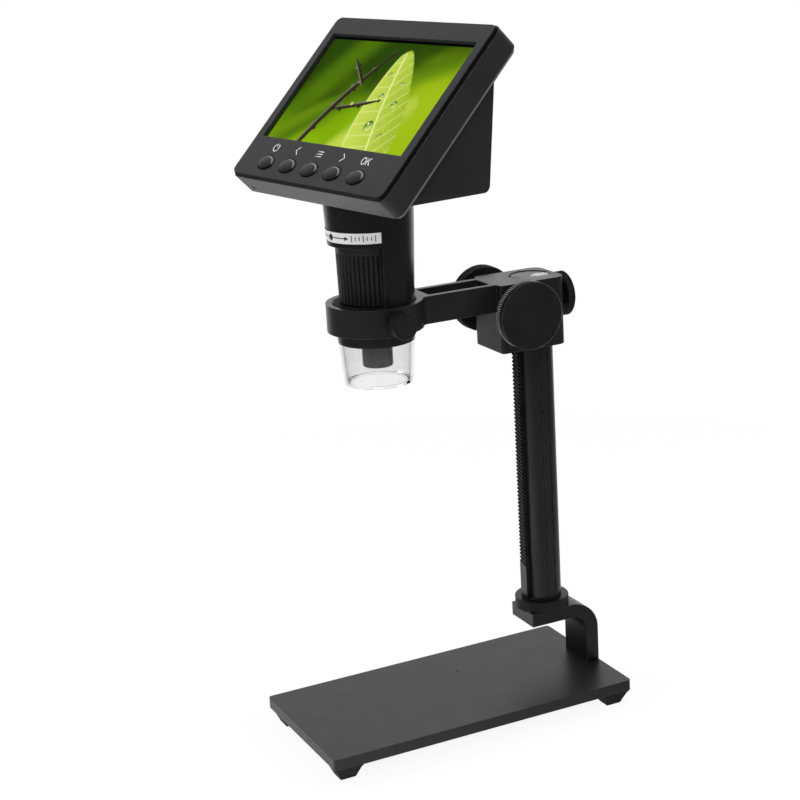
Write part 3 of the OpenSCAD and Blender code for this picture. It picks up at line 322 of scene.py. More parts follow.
def finish_material(
    name,
    colour,
    rough,
    metallic=0.0,
    specular=0.5,
    mottle=(18, 0.10),
    grain=(0.3, 0.01),
    smudge=0.06,
    edge=None,
    wear_and_sheen=0.5,
    brush=None,
    dust=0.0,
    extra=None,
):
    """Base finish: uneven colour and gloss, fine grain in the normal, rubbed edges with a painted
    highlight.

    mottle and grain are (size in mm, amount), edge is (radius in mm, 0-255 colour) and
    brush is (size in mm, stretch, depth in mm). extra(g, tone, gloss) changes some places.
    """
    g = Surface(name)
    base = linear(*colour)
    size, amount = mottle
    uneven = g.step(g.noise(size, 4.0), 0.3, 0.7)
    tone = g.mix(uneven, scaled(base, 1 - amount * 1.6), scaled(base, 1 + amount * 1.6))
    gloss = rough + (g.noise(9, 5.0) - 0.5) * (2 * smudge)
    scuffs = g.step(g.noise(1.6, 6.0, (1.0, 0.35, 2.2)), 0.66, 0.8)
    gloss = gloss + scuffs * 0.08
    if dust:
        specks = g.step(g.cells(1.3), 0.10, 0.05) * g.step(g.noise(5), 0.52, 0.64)
        tone = g.mix(specks * dust, tone, linear(*DUST))
    normal = None
    if edge:
        edge_radius, edge_colour = edge
        mask, normal = edge_mask(g, edge_radius)
        # lighter edges: partly rubbed wear, partly a painted highlight where edges catch light
        rubbed_and_highlit = mask * g.step(g.noise(2.2, 4.0), 0.3, 0.62) * wear_and_sheen
        tone = g.mix(rubbed_and_highlit, tone, linear(*edge_colour))
    if brush:
        size, stretch, depth = brush
        height = g.noise(size, 3.0, stretch)
        gloss = gloss + (height - 0.5) * 0.12
    else:
        size, depth = grain
        height = g.noise(size, 3.0)
    bump = g.bump(height, depth, normal)
    g.set(Metallic=metallic, Specular_IOR_Level=specular, Normal=bump)
    if extra:
        tone, gloss = extra(g, tone, gloss)
    g.set(Base_Color=tone, Roughness=gloss)
    return g.material


def dress(material, *nodes):
    """Gives CAD nodes their material."""
    for name in nodes:
        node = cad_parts[name]
        if not node.material_slots:
            node.data.materials.append(material)
        for place in node.material_slots:
            place.material = material


# ------------------------------------------------------------------ materials

BLACK_EDGE = (118, 118, 122)  # black coating where it is rubbed, also used as a painted edge highlight

painted = finish_material(
    "base_paint", (18, 18, 19), 0.41, mottle=(40, 0.10), grain=(0.32, 0.006),
    smudge=0.05, edge=(0.35, (96, 96, 99)), dust=0.06,
)
bracket_paint = finish_material(
    "bracket_paint", (12, 12, 13), 0.38, mottle=(22, 0.12), grain=(0.4, 0.02),
    edge=(0.5, BLACK_EDGE), wear_and_sheen=0.45, dust=0.1,
)
rubber = finish_material(
    "foot_rubber", (19, 19, 20), 0.78, specular=0.3, mottle=(6, 0.2), grain=(0.22, 0.03),
    edge=(0.4, (60, 60, 60)), wear_and_sheen=0.4, dust=0.4,
)

SCRATCH_X, SCRATCH_BACK = 1.0, 4.4  # middle of the scratched patch, from the column's axis
SCRATCH_HALF_W, SCRATCH_HALF_L = 2.4, 4.6


def bare_top(g, tone, gloss):
    """The column's upper end: plain coating, with a patch scratched down to bare metal."""
    up = g.dot(g.node("ShaderNodeNewGeometry", out="Normal"), UP)
    top = g.step(up, 0.7, 0.9) * g.step(g.axis(2), COLUMN_TOP - 1.0, COLUMN_TOP - 0.5)
    tone = g.mix(top, tone, linear(31, 31, 32))
    across = (g.axis(0) - SCRATCH_X) / SCRATCH_HALF_W
    along = (g.axis(1) - COLUMN_AXIS.y - SCRATCH_BACK) / SCRATCH_HALF_L
    away = g.distance(across, along) + (g.noise(2.2, 5.0) - 0.5) * 1.6
    bare = top * g.step(away, 1.08, 0.92)
    streaks = g.noise(0.5, 4.0, (0.25, 2.0, 1.0))
    metal = g.mix(streaks, linear(168, 168, 170), linear(240, 240, 242))
    g.set(Metallic=bare)
    return g.mix(bare, tone, metal), gloss + bare * 0.05


anodised = finish_material(
    "black_anodised", (21, 21, 22), 0.30, mottle=(26, 0.1),
    brush=(0.22, (1.0, 1.0, 0.02), 0.006), edge=(0.25, BLACK_EDGE), dust=0.1, extra=bare_top,
)
collar_black = finish_material(
    "collar_black", (12, 12, 13), 0.42, specular=0.4, mottle=(12, 0.12), grain=(0.2, 0.008),
    edge=(0.2, BLACK_EDGE), dust=0.1,
)
rack_finish = finish_material(
    "rack_black_steel", (15, 15, 16), 0.34, mottle=(8, 0.2), grain=(0.18, 0.008),
    edge=(0.12, (128, 128, 130)), wear_and_sheen=0.7,
)
cast = finish_material(
    "carriage_black", (25, 25, 26), 0.34, mottle=(16, 0.12), grain=(0.28, 0.012),
    edge=(0.35, BLACK_EDGE), wear_and_sheen=0.55, dust=0.12,
)


def painted_rib_light_and_shade(g, tone, gloss):
    """A knob's rim is dull with painted shade; the right one's rib crests get a painted highlight
    on their inner part.
    """
    rim = g.step(g.math("ABSOLUTE", g.facing(RIGHT)), 0.5, 0.3)
    radius = g.length(g.from_axis((0.0, KNOB_AXIS.y, KNOB_AXIS.z), (0.0, 1.0, 1.0)))
    crest = g.step(radius, KNOB_R - 0.24, KNOB_R - 0.1)
    inner = g.step(g.axis(0), KNOB_HIGH.x - 1.9, KNOB_HIGH.x - 2.5)
    inner = inner * g.step(g.axis(0), 0.0, 1.0)
    # painted shade (near black) over the rim, painted highlight (pale grey) on the crests
    rib_light_and_shade = g.mix(crest * inner, linear(5, 5, 6), linear(150, 150, 153))
    g.set(Specular_IOR_Level=0.5 - rim * 0.38)
    return g.mix(rim, tone, rib_light_and_shade), gloss + rim * 0.15


knob_plastic = finish_material(
    "knob_black", (20, 20, 21), 0.36, mottle=(12, 0.12), grain=(0.3, 0.008),
    edge=(0.28, (180, 180, 183)), wear_and_sheen=0.8, dust=0.1, extra=painted_rib_light_and_shade,
)
thumb_plastic = finish_material(
    "thumb_screw_black", (20, 20, 21), 0.36, mottle=(12, 0.12), grain=(0.3, 0.008),
    edge=(0.2, (92, 92, 95)), wear_and_sheen=0.35, dust=0.1,
)
steel = finish_material(
    "machined_steel", (150, 150, 154), 0.26, metallic=1.0, mottle=(5, 0.1),
    brush=(0.12, (0.06, 1.0, 1.0), 0.004), edge=(0.15, (220, 220, 222)), wear_and_sheen=0.4,
)
brass = finish_material(
    "turned_brass", (178, 148, 84), 0.3, metallic=1.0, mottle=(4, 0.12),
    grain=(0.1, 0.004), edge=(0.12, (230, 208, 150)),
)
nylon = finish_material(
    "nylon", (214, 212, 203), 0.5, mottle=(3, 0.06), grain=(0.2, 0.006),
    edge=(0.2, (236, 235, 228)),
)


def matt_sill(g, tone, gloss):
    """The sill of the tube's window is dull and dark."""
    below_top = g.step(g.axis(2), TUBE_Z + TUBE_L - 2.0, TUBE_Z + TUBE_L - 4.0)
    sill = g.step(g.facing(UP), 0.7, 0.9) * below_top
    g.set(Specular_IOR_Level=0.5 - sill * 0.4)
    return g.mix(sill, tone, linear(9, 9, 10)), gloss + sill * 0.3


tube_plastic = finish_material(
    "tube_black", (19, 19, 20), 0.27, mottle=(20, 0.1), grain=(0.35, 0.006),
    smudge=0.05, edge=(0.3, (112, 112, 115)), wear_and_sheen=0.6, dust=0.08, extra=matt_sill,
)


def dark_flutes(g, tone, gloss):
    """The focus wheel's flutes gather shade and keep no shine."""
    widening = (WHEEL_R1 - WHEEL_R0) / (WHEEL_HIGH.z - WHEEL_LOW.z)
    crest = WHEEL_R0 + (g.axis(2) - WHEEL_LOW.z) * widening
    deep = g.step(crest - g.length(g.from_axis(TUBE_AXIS, LEVEL)), 0.22, 0.52)
    g.set(Specular_IOR_Level=0.5 - deep * 0.36)
    return g.mix(deep, tone, linear(6, 6, 7)), gloss + deep * 0.2


wheel_plastic = finish_material(
    "focus_wheel_black", (28, 28, 29), 0.38, mottle=(8, 0.15), grain=(0.25, 0.008),
    edge=(0.18, (92, 92, 96)), extra=dark_flutes,
)
nose_metal = finish_material(
    "lens_nose_grey", (80, 80, 83), 0.42, metallic=0.2, mottle=(7, 0.1),
    brush=(0.2, (1.0, 1.0, 0.05), 0.004), edge=(0.3, (150, 150, 154)), wear_and_sheen=0.6,
)


def painted_bezel_shade_and_light(g, tone, gloss):
    """The bezel's chamfer is dull with painted shade, and the underside a little paler as painted
    light.
    """
    depth = g.along_face(OUT)
    within = g.step(depth, -0.12, -0.3) * g.step(depth, -EDGE_DROP, -EDGE_DROP + 0.15)
    sloping = g.step(g.facing(OUT), 0.98, 0.9) * g.step(g.facing(OUT), 0.3, 0.4)
    chamfer = within * sloping
    under = g.step(g.facing(UP_FACE), -0.93, -0.99)
    g.set(Specular_IOR_Level=0.45 - chamfer * 0.28)
    # painted shade on the chamfer, then a painted lighter underside
    tone = g.mix(chamfer, tone, linear(10, 10, 11))
    return g.mix(under, tone, linear(60, 60, 61)), gloss


bezel_plastic = finish_material(
    "bezel_charcoal", (35, 35, 36), 0.44, mottle=(30, 0.07), grain=(0.24, 0.014),
    smudge=0.04, edge=(0.26, (126, 126, 128)), wear_and_sheen=0.65, dust=0.12, extra=painted_bezel_shade_and_light,
)


def painted_slope_highlight(g, tone, gloss):
    """The sloped edge behind the bezel gets a patchy painted highlight."""
    share = g.step(g.along_face(OUT), -FLANGE_BACK + 0.05, -FLANGE_BACK + 0.25)
    share = share * g.step(g.noise(5, 4.0), 0.1, 0.5, 0.7, 1.0)
    # painted highlight on the flange's slope, broken up by noise
    return g.mix(share, tone, linear(92, 92, 94)), gloss - share * 0.08


rear_plastic = finish_material(
    "rear_housing_black", (32, 32, 33), 0.40, specular=0.45, mottle=(30, 0.08),
    grain=(0.24, 0.014), smudge=0.05, edge=(0.35, (112, 112, 116)), wear_and_sheen=0.45, dust=0.12,
    extra=painted_slope_highlight,
)


def painted_key_light_and_shade(g, tone, gloss):
    """A key's edge and lower half are dull with painted shade, with a painted highlight line
    inside its upper right edge.
    """
    count = (g.along_face(ACROSS) + KEY_LEFT) / KEY_PITCH + 0.5
    x = (g.math("FRACT", count) - 0.5) * KEY_PITCH / (KEY_L / 2 - 0.3)
    y = (g.along_face(UP_FACE) + KEY_DOWN) / (KEY_H / 2 - 0.35)
    away = g.distance(x, y)
    edge = g.step(away, 0.93, 1.0)
    line = g.step(away, 0.78, 0.88) * g.step(x * 0.6 + y * 0.7, 0.25, 0.8)
    low = g.step(y, 0.35, -0.6)
    g.set(Specular_IOR_Level=0.5 - g.larger(low * 0.12, edge * 0.35))
    # painted shade on the lower half and the outer edge, painted highlight line at the upper
    # right
    tone = g.mix(low * 0.5, tone, linear(8, 8, 9))
    tone = g.mix(line * 0.65, tone, linear(150, 150, 152))
    return g.mix(edge * 0.9, tone, linear(6, 6, 7)), gloss


button_plastic = finish_material(
    "button_rubber", (32, 32, 33), 0.40, mottle=(5, 0.1), grain=(0.2, 0.008),
    edge=(0.24, (110, 110, 112)), wear_and_sheen=0.4, extra=painted_key_light_and_shade,
)
black_screw = finish_material(
    "black_screw", (60, 60, 63), 0.35, metallic=0.8, mottle=(2, 0.2), grain=(0.12, 0.006),
    edge=(0.12, (170, 170, 172)), wear_and_sheen=0.8,
)
nickel = finish_material(
    "nickel_shell", (196, 194, 188), 0.28, metallic=1.0, mottle=(3, 0.1),
    grain=(0.1, 0.003), edge=(0.1, (232, 230, 226)),
)
frame_metal = finish_material(
    "screen_frame_metal", (128, 129, 132), 0.4, metallic=0.9, mottle=(12, 0.1),
    grain=(0.2, 0.004), edge=(0.3, (190, 190, 192)),
)


def copper_lines(g, tone, gloss):
    """Solder mask over straight conductor runs, with tinned pads."""
    across = g.dot(g.place(), tuple(ACROSS))
    along = g.dot(g.place(), tuple(UP_FACE))
    field = g.cells(2.4, at=g.pair(across, along), out="Color")
    runs = g.step(g.math("SINE", across * 5.2 + g.part(field) * 6), 0.5, 0.8)
    pads = g.step(g.cells(3.1), 0.17, 0.12)
    tone = g.mix(runs * 0.5, tone, linear(58, 122, 72))
    g.set(Metallic=pads)
    return g.mix(pads, tone, linear(204, 200, 186)), gloss - runs * 0.06


board = finish_material(
    "circuit_board", (24, 84, 48), 0.35, mottle=(9, 0.1), grain=(0.2, 0.004),
    edge=(0.15, (150, 160, 120)), extra=copper_lines,
)
white_board = finish_material(
    "lamp_board", (196, 198, 196), 0.4, mottle=(6, 0.05), grain=(0.2, 0.004),
    edge=(0.15, (170, 170, 150)),
)


def phosphor(g, tone, gloss):
    """The lower face of each white lamp package is yellow phosphor."""
    low = g.step(g.axis(2), LAMPS_LOW.z + 0.15, LAMPS_LOW.z + 0.05)
    return g.mix(low, tone, linear(238, 214, 96)), gloss


lamp = finish_material(
    "lamp_package", (236, 234, 222), 0.3, mottle=(2, 0.03), grain=(0.15, 0.003),
    extra=phosphor,
)


def foil_creases(g, tone, gloss):
    """Pale creases in the cell's foil."""
    crease = g.cells(7.0, "DISTANCE_TO_EDGE", (1.0, 1.0, 0.4))
    return g.mix(g.step(crease, 0.06, 0.0), tone, linear(228, 229, 232)), gloss


foil = finish_material(
    "cell_foil", (186, 188, 192), 0.3, metallic=0.9, mottle=(8, 0.12), grain=(1.4, 0.06),
    edge=(0.5, (226, 226, 230)), extra=foil_creases,
)


def label_film():
    """Silver film with fine polishing lines and a black printed edge line."""
    g = Surface("label_film")
    lines = g.noise(0.5, 4.0, (0.1, 0.1, 3.0))
    tone = g.mix(lines, linear(204, 204, 207), linear(240, 240, 242))
    off = g.math("ABSOLUTE", g.axis(2) - LABEL_MIDDLE)
    border = g.step(off, LABEL_HALF - 0.46, LABEL_HALF - 0.34)
    way = g.vector("NORMALIZE", g.from_axis(TUBE_AXIS, LEVEL))
    front = tuple(HEAD.to_3x3() @ Vector((0, -1, 0)))
    end = math.radians(LABEL_ANGLE / 2)
    ends = g.step(g.dot(way, front), math.cos(end - 0.03), math.cos(end - 0.022))
    g.set(
        Base_Color=g.mix(g.larger(border, ends), tone, linear(16, 16, 17)),
        Metallic=0.1,
        Roughness=g.noise(3, 3.0) * 0.12 + 0.3,
        Normal=g.bump(lines, 0.004),
    )
    return g.material


def clear_plastic(name, tint, ior, rough):
    """Clear moulded plastic or glass, with faint flow marks and fingerprints."""
    g = Surface(name)
    smudge = g.step(g.noise(5, 5.0), 0.5, 0.72)
    flow = g.noise(2.5, 3.0, (1.0, 1.0, 0.3))
    g.set(
        Base_Color=g.mix(smudge, linear(*tint), linear(*(c - 6 for c in tint))),
        Roughness=smudge * 0.05 + rough,
        Transmission_Weight=1.0,
        IOR=ior,
        Normal=g.bump(flow, 0.01),
    )
    return g.material


# ------------------------------------------------------------------ the screen's picture

# The lit picture lies between these places on the face, in mm from its centre
PICTURE_LEFT, PICTURE_RIGHT = -48.1, 46.94
PICTURE_LOW, PICTURE_HIGH = -23.1, 30.8

# Below, places and sizes in the picture are in halves of its width, from its middle
BLACK = (0.0, 0.0, 0.0, 1.0)
DEEP_GREEN, FRESH_GREEN = (0.020, 0.060, 0.0005, 1.0), (0.25, 0.48, 0.001, 1.0)
SUN_GREEN, BLADE_GREEN = (0.36, 0.52, 0.008, 1.0), (0.20, 0.42, 0.002, 1.0)
LEAF_RIM = (0.86, 0.93, 0.42, 1.0)
# Each leaf's shaded side, lit side and veins
DULL_LEAF = ((0.05, 0.13, 0.001, 1.0), (0.16, 0.31, 0.004, 1.0), (0.3, 0.45, 0.02, 1.0))
BRIGHT_LEAF = ((0.30, 0.46, 0.006, 1.0), (0.62, 0.74, 0.10, 1.0), (0.80, 0.88, 0.32, 1.0))
BARK_DARK, BARK_BROWN = (0.004, 0.003, 0.002, 1.0), (0.05, 0.035, 0.02, 1.0)
BARK_LIT = (0.32, 0.30, 0.20, 1.0)
DROP_SHADE, DROP_LIGHT = (0.05, 0.17, 0.002, 1.0), (0.72, 0.88, 0.22, 1.0)
DROP_RIM, DROP_GLINT = (0.02, 0.08, 0.001, 1.0), (1.0, 1.0, 0.95, 1.0)
PANEL_DARK, PANEL_PALE = (0.0008, 0.0008, 0.0009, 1.0), (0.002, 0.002, 0.0022, 1.0)

# base, angle, length, width, bend, softness of the outline, tones, with veins
LEAVES = (
    ((0.95, 0.42), 196, 0.9, 0.20, 0.10, 0.09, DULL_LEAF, False),
    ((-0.95, -0.60), 48, 0.9, 0.22, -0.12, 0.07, DULL_LEAF, False),
    ((-0.10, -0.80), 33, 1.15, 0.50, 0.22, 0.10, BRIGHT_LEAF, False),
    ((0.62, -0.80), 119, 1.36, 0.60, -0.22, 0.012, BRIGHT_LEAF, True),
)
# start, angle, bend, thickness, reach
TWIGS = (
    ((-0.55, -0.62), 62, 0.07, 0.030, 1.25),
    ((-0.30, -0.14), 18, -0.05, 0.015, 0.55),
    ((-0.16, 0.12), 138, 0.03, 0.012, 0.42),
)
# middle and radius
DROPS = (
    ((0.30, -0.28), 0.060),
    ((0.44, -0.05), 0.042),
    ((0.20, 0.02), 0.034),
    ((0.52, -0.36), 0.030),
    ((0.13, 0.24), 0.026),
    ((0.36, 0.16), 0.022),
    ((-0.13, -0.075), 0.024),
)


def turned_place(x, y, start, angle):
    """A place along and across a line that leaves start at that angle."""
    c, s = math.cos(math.radians(angle)), math.sin(math.radians(angle))
    dx, dy = x - start[0], y - start[1]
    return dx * c + dy * s, dy * c - dx * s


def leaf(g, x, y, base, angle, length, width, bend, soft, tones, veins):
    """A pointed leaf: its mask and its colour, with midrib and side veins."""
    shaded, lit, vein = tones
    far, aside = turned_place(x, y, base, angle)
    along = far / length
    across = aside - along * along * bend
    side = g.math("ABSOLUTE", across)
    half = g.math("SQRT", g.larger(along * (1.0 - along), 0.0)) * (1.35 - along * 0.7) * width
    mask = g.step(side - half, soft, -soft)
    mask = mask * g.step(along, 0.0, 0.04) * g.step(along, 1.0, 0.97)
    tone = g.mix(g.step(across / width, -0.9, 0.9), shaded, lit)
    if veins:
        ribs = g.math("COSINE", (along * 11.0 - side / width * 1.7) * (2 * math.pi))
        tone = g.mix(g.step(ribs, 0.86, 1.0) * 0.45, tone, vein)
        net = g.cells(0.035, "DISTANCE_TO_EDGE", at=g.pair(x, y))
        tone = g.mix(g.step(net, 0.09, 0.0) * 0.22, tone, vein)
        tone = g.mix(g.step(side, 0.016, 0.004), tone, vein)
        rim = g.step(half - side, 0.03, 0.0) * g.step(across, 0.0, 0.05)
        tone = g.mix(rim * 0.6, tone, LEAF_RIM)
    return mask, tone


def twig(g, x, y, start, angle, bend, thick, reach):
    """A dark thorned twig: its mask and its colour."""
    along, aside = turned_place(x, y, start, angle)
    across = aside - g.math("SINE", along * 2.4) * bend
    side = g.math("ABSOLUTE", across)
    thorns = g.step(g.math("SINE", along * 27.0), 0.82, 1.0) * 0.022
    knots = thorns + g.noise(0.05, 3.0, at=g.pair(x, y)) * 0.012
    half = (thick + knots) * g.step(along, reach, reach * 0.55, 0.35, 1.0)
    mask = g.step(side - half, 0.006, -0.006) * g.step(along, reach, reach - 0.02)
    mask = mask * g.step(along, -0.01, 0.01)
    bark = g.mix(g.noise(0.02, 4.0, at=g.pair(x, y)), BARK_DARK, BARK_BROWN)
    return mask, g.mix(g.step(across / thick, 0.1, 1.1) * 0.55, bark, BARK_LIT)


def drop(g, x, y, middle, radius):
    """A drop of dew: its mask and its colour, with a dark rim and a glint."""
    dx, dy = (x - middle[0]) / radius, (y - middle[1]) / radius
    away = g.distance(dx, dy)
    tone = g.mix(g.step(dx * 0.5 - dy * 0.8, -0.8, 0.9), DROP_SHADE, DROP_LIGHT)
    tone = g.mix(g.step(away, 0.7, 1.0) * 0.6, tone, DROP_RIM)
    glint = g.step(g.distance(dx + 0.35, dy - 0.42), 0.26, 0.12)
    return g.step(away, 1.0, 0.9), g.mix(glint, tone, DROP_GLINT)


def picture_ground(g, x, y):
    """The blurred green ground, with one pale blade across it."""
    blur = g.noise(0.55, 1.0, at=g.pair(x, y))
    wide_blur = g.noise(0.9, 0.0, at=g.pair(y + 3.0, x))
    fresh = g.step(x * 0.34 - y * 0.85 + blur * 0.7, 0.02, 0.86)
    tone = g.mix(fresh, DEEP_GREEN, FRESH_GREEN)
    tone = g.mix(g.step(x * 0.4 - y * 0.3 + wide_blur, 0.62, 1.05), tone, SUN_GREEN)
    blade = g.step(g.math("ABSOLUTE", x * 0.8 - y * 0.5 + 0.62), 0.26, 0.02)
    return g.mix(blade * 0.3, tone, BLADE_GREEN)


def screen_picture():
    """The lit screen: dewy leaves and a dark twig, with the panel's black edge round them."""
    g = Surface("screen_picture")
    u, v = g.along_face(ACROSS), g.along_face(UP_FACE)
    half = (PICTURE_RIGHT - PICTURE_LEFT) / 2
    x = (u - (PICTURE_RIGHT + PICTURE_LEFT) / 2) / half
    y = (v - (PICTURE_HIGH + PICTURE_LOW) / 2) / half
    tone = picture_ground(g, x, y)
    for draw, things in ((leaf, LEAVES), (twig, TWIGS), (drop, DROPS)):
        for thing in things:
            mask, colour = draw(g, x, y, *thing)
            tone = g.mix(mask, tone, colour)
    past_x = g.larger(PICTURE_LEFT - u, u - PICTURE_RIGHT)
    past_y = g.larger(PICTURE_LOW - v, v - PICTURE_HIGH)
    lit = g.step(g.larger(past_x, past_y), 0.08, -0.08)
    haze = g.noise(14, 4.0)
    g.set(
        Base_Color=g.mix(haze, PANEL_DARK, PANEL_PALE),
        Roughness=haze * 0.06 + 0.10,
        Specular_IOR_Level=0.002,
        Emission_Color=g.mix(lit, BLACK, tone),
        Emission_Strength=1.0,
        Normal=g.bump(g.noise(6, 2.0), 0.004),
    )
    return g.material


# ------------------------------------------------------------------ what each piece wears

KEYS = ("power", "left_arrow", "menu", "right_arrow", "ok")

dress(painted, "base_plate")
dress(rubber, "rubber_feet")
dress(bracket_paint, "c_bracket")
dress(steel, "column_bolt", "pinion_shaft")
dress(anodised, "column")
dress(collar_black, "lock_collar")
dress(rack_finish, "gear_rack")
dress(cast, "arm_carriage")
dress(brass, "shaft_bushes", "pinion_gear", "brake_pad")
dress(knob_plastic, "drive_knob_right", "drive_knob_left")
dress(thumb_plastic, "clamp_knob", "ring_screw")
dress(nylon, "ring_pad")
dress(tube_plastic, "tube_body")
dress(label_film(), "label_strip")
dress(wheel_plastic, "focus_wheel", "dimmer_wheel")
dress(nose_metal, "lens_barrel")
dress(clear_plastic("objective_glass", (236, 244, 246), 1.52, 0.01), "objective_lens")
dress(clear_plastic("cap_clear_plastic", (244, 244, 245), 1.45, 0.015), "clear_cap")
dress(white_board, "led_board")
dress(lamp, "leds")
dress(board, "sensor_board", "key_board", "main_board")
dress(bezel_plastic, "front_bezel")
dress(screen_picture(), "lcd_glass")
dress(frame_metal, "lcd_module")
dress(foil, "battery")
dress(nickel, "usb_socket", "card_slot")
dress(rear_plastic, "rear_housing")
dress(black_screw, "bracket_screws", "housing_screws")
dress(button_plastic, *(f"button_{key}" for key in KEYS))

# ------------------------------------------------------------------ printed marks

white_print = finish_material(
    "white_print", (214, 214, 216), 0.5, mottle=(0.8, 0.06), grain=(0.15, 0.004)
)
black_print = finish_material(
    "black_print", (14, 14, 15), 0.4, mottle=(0.8, 0.1), grain=(0.15, 0.004)
)


def link(name, bm, material, body):
    """Makes a printed mark of a mesh, on the body that carries it."""
    mesh = bpy.data.meshes.new(name)
    bmesh.ops.recalc_face_normals(bm, faces=bm.faces)
    bm.to_mesh(mesh)
    bm.free()
    mesh.materials.append(material)
    piece = bpy.data.objects.new(name, mesh)
    bpy.context.scene.collection.objects.link(piece)
    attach(piece, body)


def stroke(bm, path, closed, width, place, low, high):
    """A printed line of even width along a path, as a thin closed body.

    place(u, v, w) gives the point in mm; low and high are its under and upper side.
    """
    points = [Vector(p) for p in path]
    if closed:
        first, last = points[-1], points[0]
    else:
        first, last = 2 * points[0] - points[1], 2 * points[-1] - points[-2]
    around = [first, *points, last]
    rings = []
    for before, point, after in zip(around, points, around[2:]):
        arriving, leaving = (point - before).normalized(), (after - point).normalized()
        along = arriving + leaving
        mitre = Vector((-along.y, along.x)).normalized()
        square = Vector((-arriving.y, arriving.x))
        reach = mitre * (width / 2 / max(0.5, mitre.dot(square)))
        left, right = point + reach, point - reach
        corners = ((left, low), (left, high), (right, high), (right, low))
        rings.append([bm.verts.new(Vector(place(q.x, q.y, w)) * MM) for q, w in corners])
    for one, two in zip(rings, rings[1:] + (rings[:1] if closed else [])):
        for k in range(4):
            bm.faces.new((one[k], one[(k + 1) % 4], two[(k + 1) % 4], two[k]))
    if not closed:
        bm.faces.new(rings[0])
        bm.faces.new(rings[-1][::-1])


def patch(bm, outline, place, low, high):
    """A filled printed shape with a thin edge."""
    lower = [bm.verts.new(Vector(place(u, v, low)) * MM) for u, v in outline]
    upper = [bm.verts.new(Vector(place(u, v, high)) * MM) for u, v in outline]
    bm.faces.new(upper)
    bm.faces.new(lower[::-1])
    for i in range(len(outline)):
        k = (i + 1) % len(outline)
        bm.faces.new((lower[i], lower[k], upper[k], upper[i]))


ICONS_DOWN = 26.2  # the icons' row, from the face's centre
ICON_LINE_WIDTH = 0.37
FACE_PRINT = (-0.01, 0.03)  # under and upper side of the print, out of the face


def on_face(u, v, w):
    """A place on the screen's face: right, up and out of it from its centre."""
    return FACE @ Vector((u, v, w))


def arc(cu, cv, ru, rv, a0, a1, steps):
    """Part of an ellipse about (cu, cv), from angle a0 to a1."""
    angles = [math.radians(a0 + (a1 - a0) * i / steps) for i in range(steps + 1)]
    return [(cu + ru * math.cos(a), cv + rv * math.sin(a)) for a in angles]


def chevron(middle, way):
    """An arrow head: way is -1 for left and 1 for right."""
    tip, back = middle + 0.9 * way, middle - 0.9 * way
    return [(back, 1.8), (tip, 0), (back, -1.8)]


# The open lines and the rings of each icon, from the middle of its key and of the row
ICON_LINES = {
    "power": [arc(0.2, 0, 1.8, 1.8, 125, 415, 26), [(0.2, 2.0), (0.2, 0.2)]],
    "left_arrow": [chevron(0, -1)],
    "menu": [
        [(start, row), (end, row)]
        for row in (-1.15, 0, 1.15)
        for start, end in ((-1.8, -1.25), (-0.7, 2.0))
    ],
    "right_arrow": [chevron(0.4, 1)],
    "ok": [
        [(0.75, 1.65), (0.75, -1.65)],
        [(2.75, 1.65), (0.9, -0.2)],
        [(1.4, 0.3), (2.9, -1.65)],
    ],
}
ICON_RINGS = {"ok": [arc(-1.45, 0, 1.22, 1.55, 0, 345, 23)]}


def icon(number, key):
    """The printed icon over a key."""
    middle = KEY_PITCH * (number - len(KEYS) // 2) - KEY_LEFT
    paths = [(ring, True) for ring in ICON_RINGS.get(key, [])]
    paths += [(line, False) for line in ICON_LINES[key]]
    bm = bmesh.new()
    for path, closed in paths:
        placed = [(u + middle, v - ICONS_DOWN) for u, v in path]
        stroke(bm, placed, closed, ICON_LINE_WIDTH, on_face, *FACE_PRINT)
    link(f"icon_{key}", bm, white_print, "head")


for number, key in enumerate(KEYS):
    icon(number, key)

# The label's marks: angles in degrees from the head's front, heights in mm
FILM_PRINT = (0.005, 0.03)  # under and upper side of the print, out of the film
LABEL_LINES = ((-58, -10), (1, 22))
LINE_HALF, LINE_CELLS = 0.18, 20
DOT_AT, DOT_HALF_ANGLE, DOT_HALF, DOT_CELLS = -4.5, 4.4, 1.3, 12
DOT_BLUNT = 8  # degrees of the dot's ellipse that are cut off at each end
ARROW_FROM, ARROW_TO, ARROW_HALF = 20.5, 26.5, 0.85
TICKS, TICK_FROM, TICK_PITCH, TICK_HALF_ANGLE = 7, 31, 5.2, 0.6
LONG_TICK, SHORT_TICK = 1.3, 0.8  # half heights; every third tick is long


def on_label(angle, up, w):
    """A place on the label: up from its middle line, and w out of the film."""
    z = LABEL_MIDDLE + up
    radius = TUBE_R0 + (TUBE_R1 - TUBE_R0) * (z - TUBE_Z) / TUBE_L + FILM_OUT + w
    a = math.radians(angle - 90)
    return HEAD @ Vector((radius * math.cos(a), radius * math.sin(a), z))


def label_cell(bm, start, end, half, end_half):
    """A short stretch of print, about the label's middle line."""
    outline = [(start, -half), (end, -end_half), (end, end_half), (start, half)]
    patch(bm, outline, on_label, *FILM_PRINT)


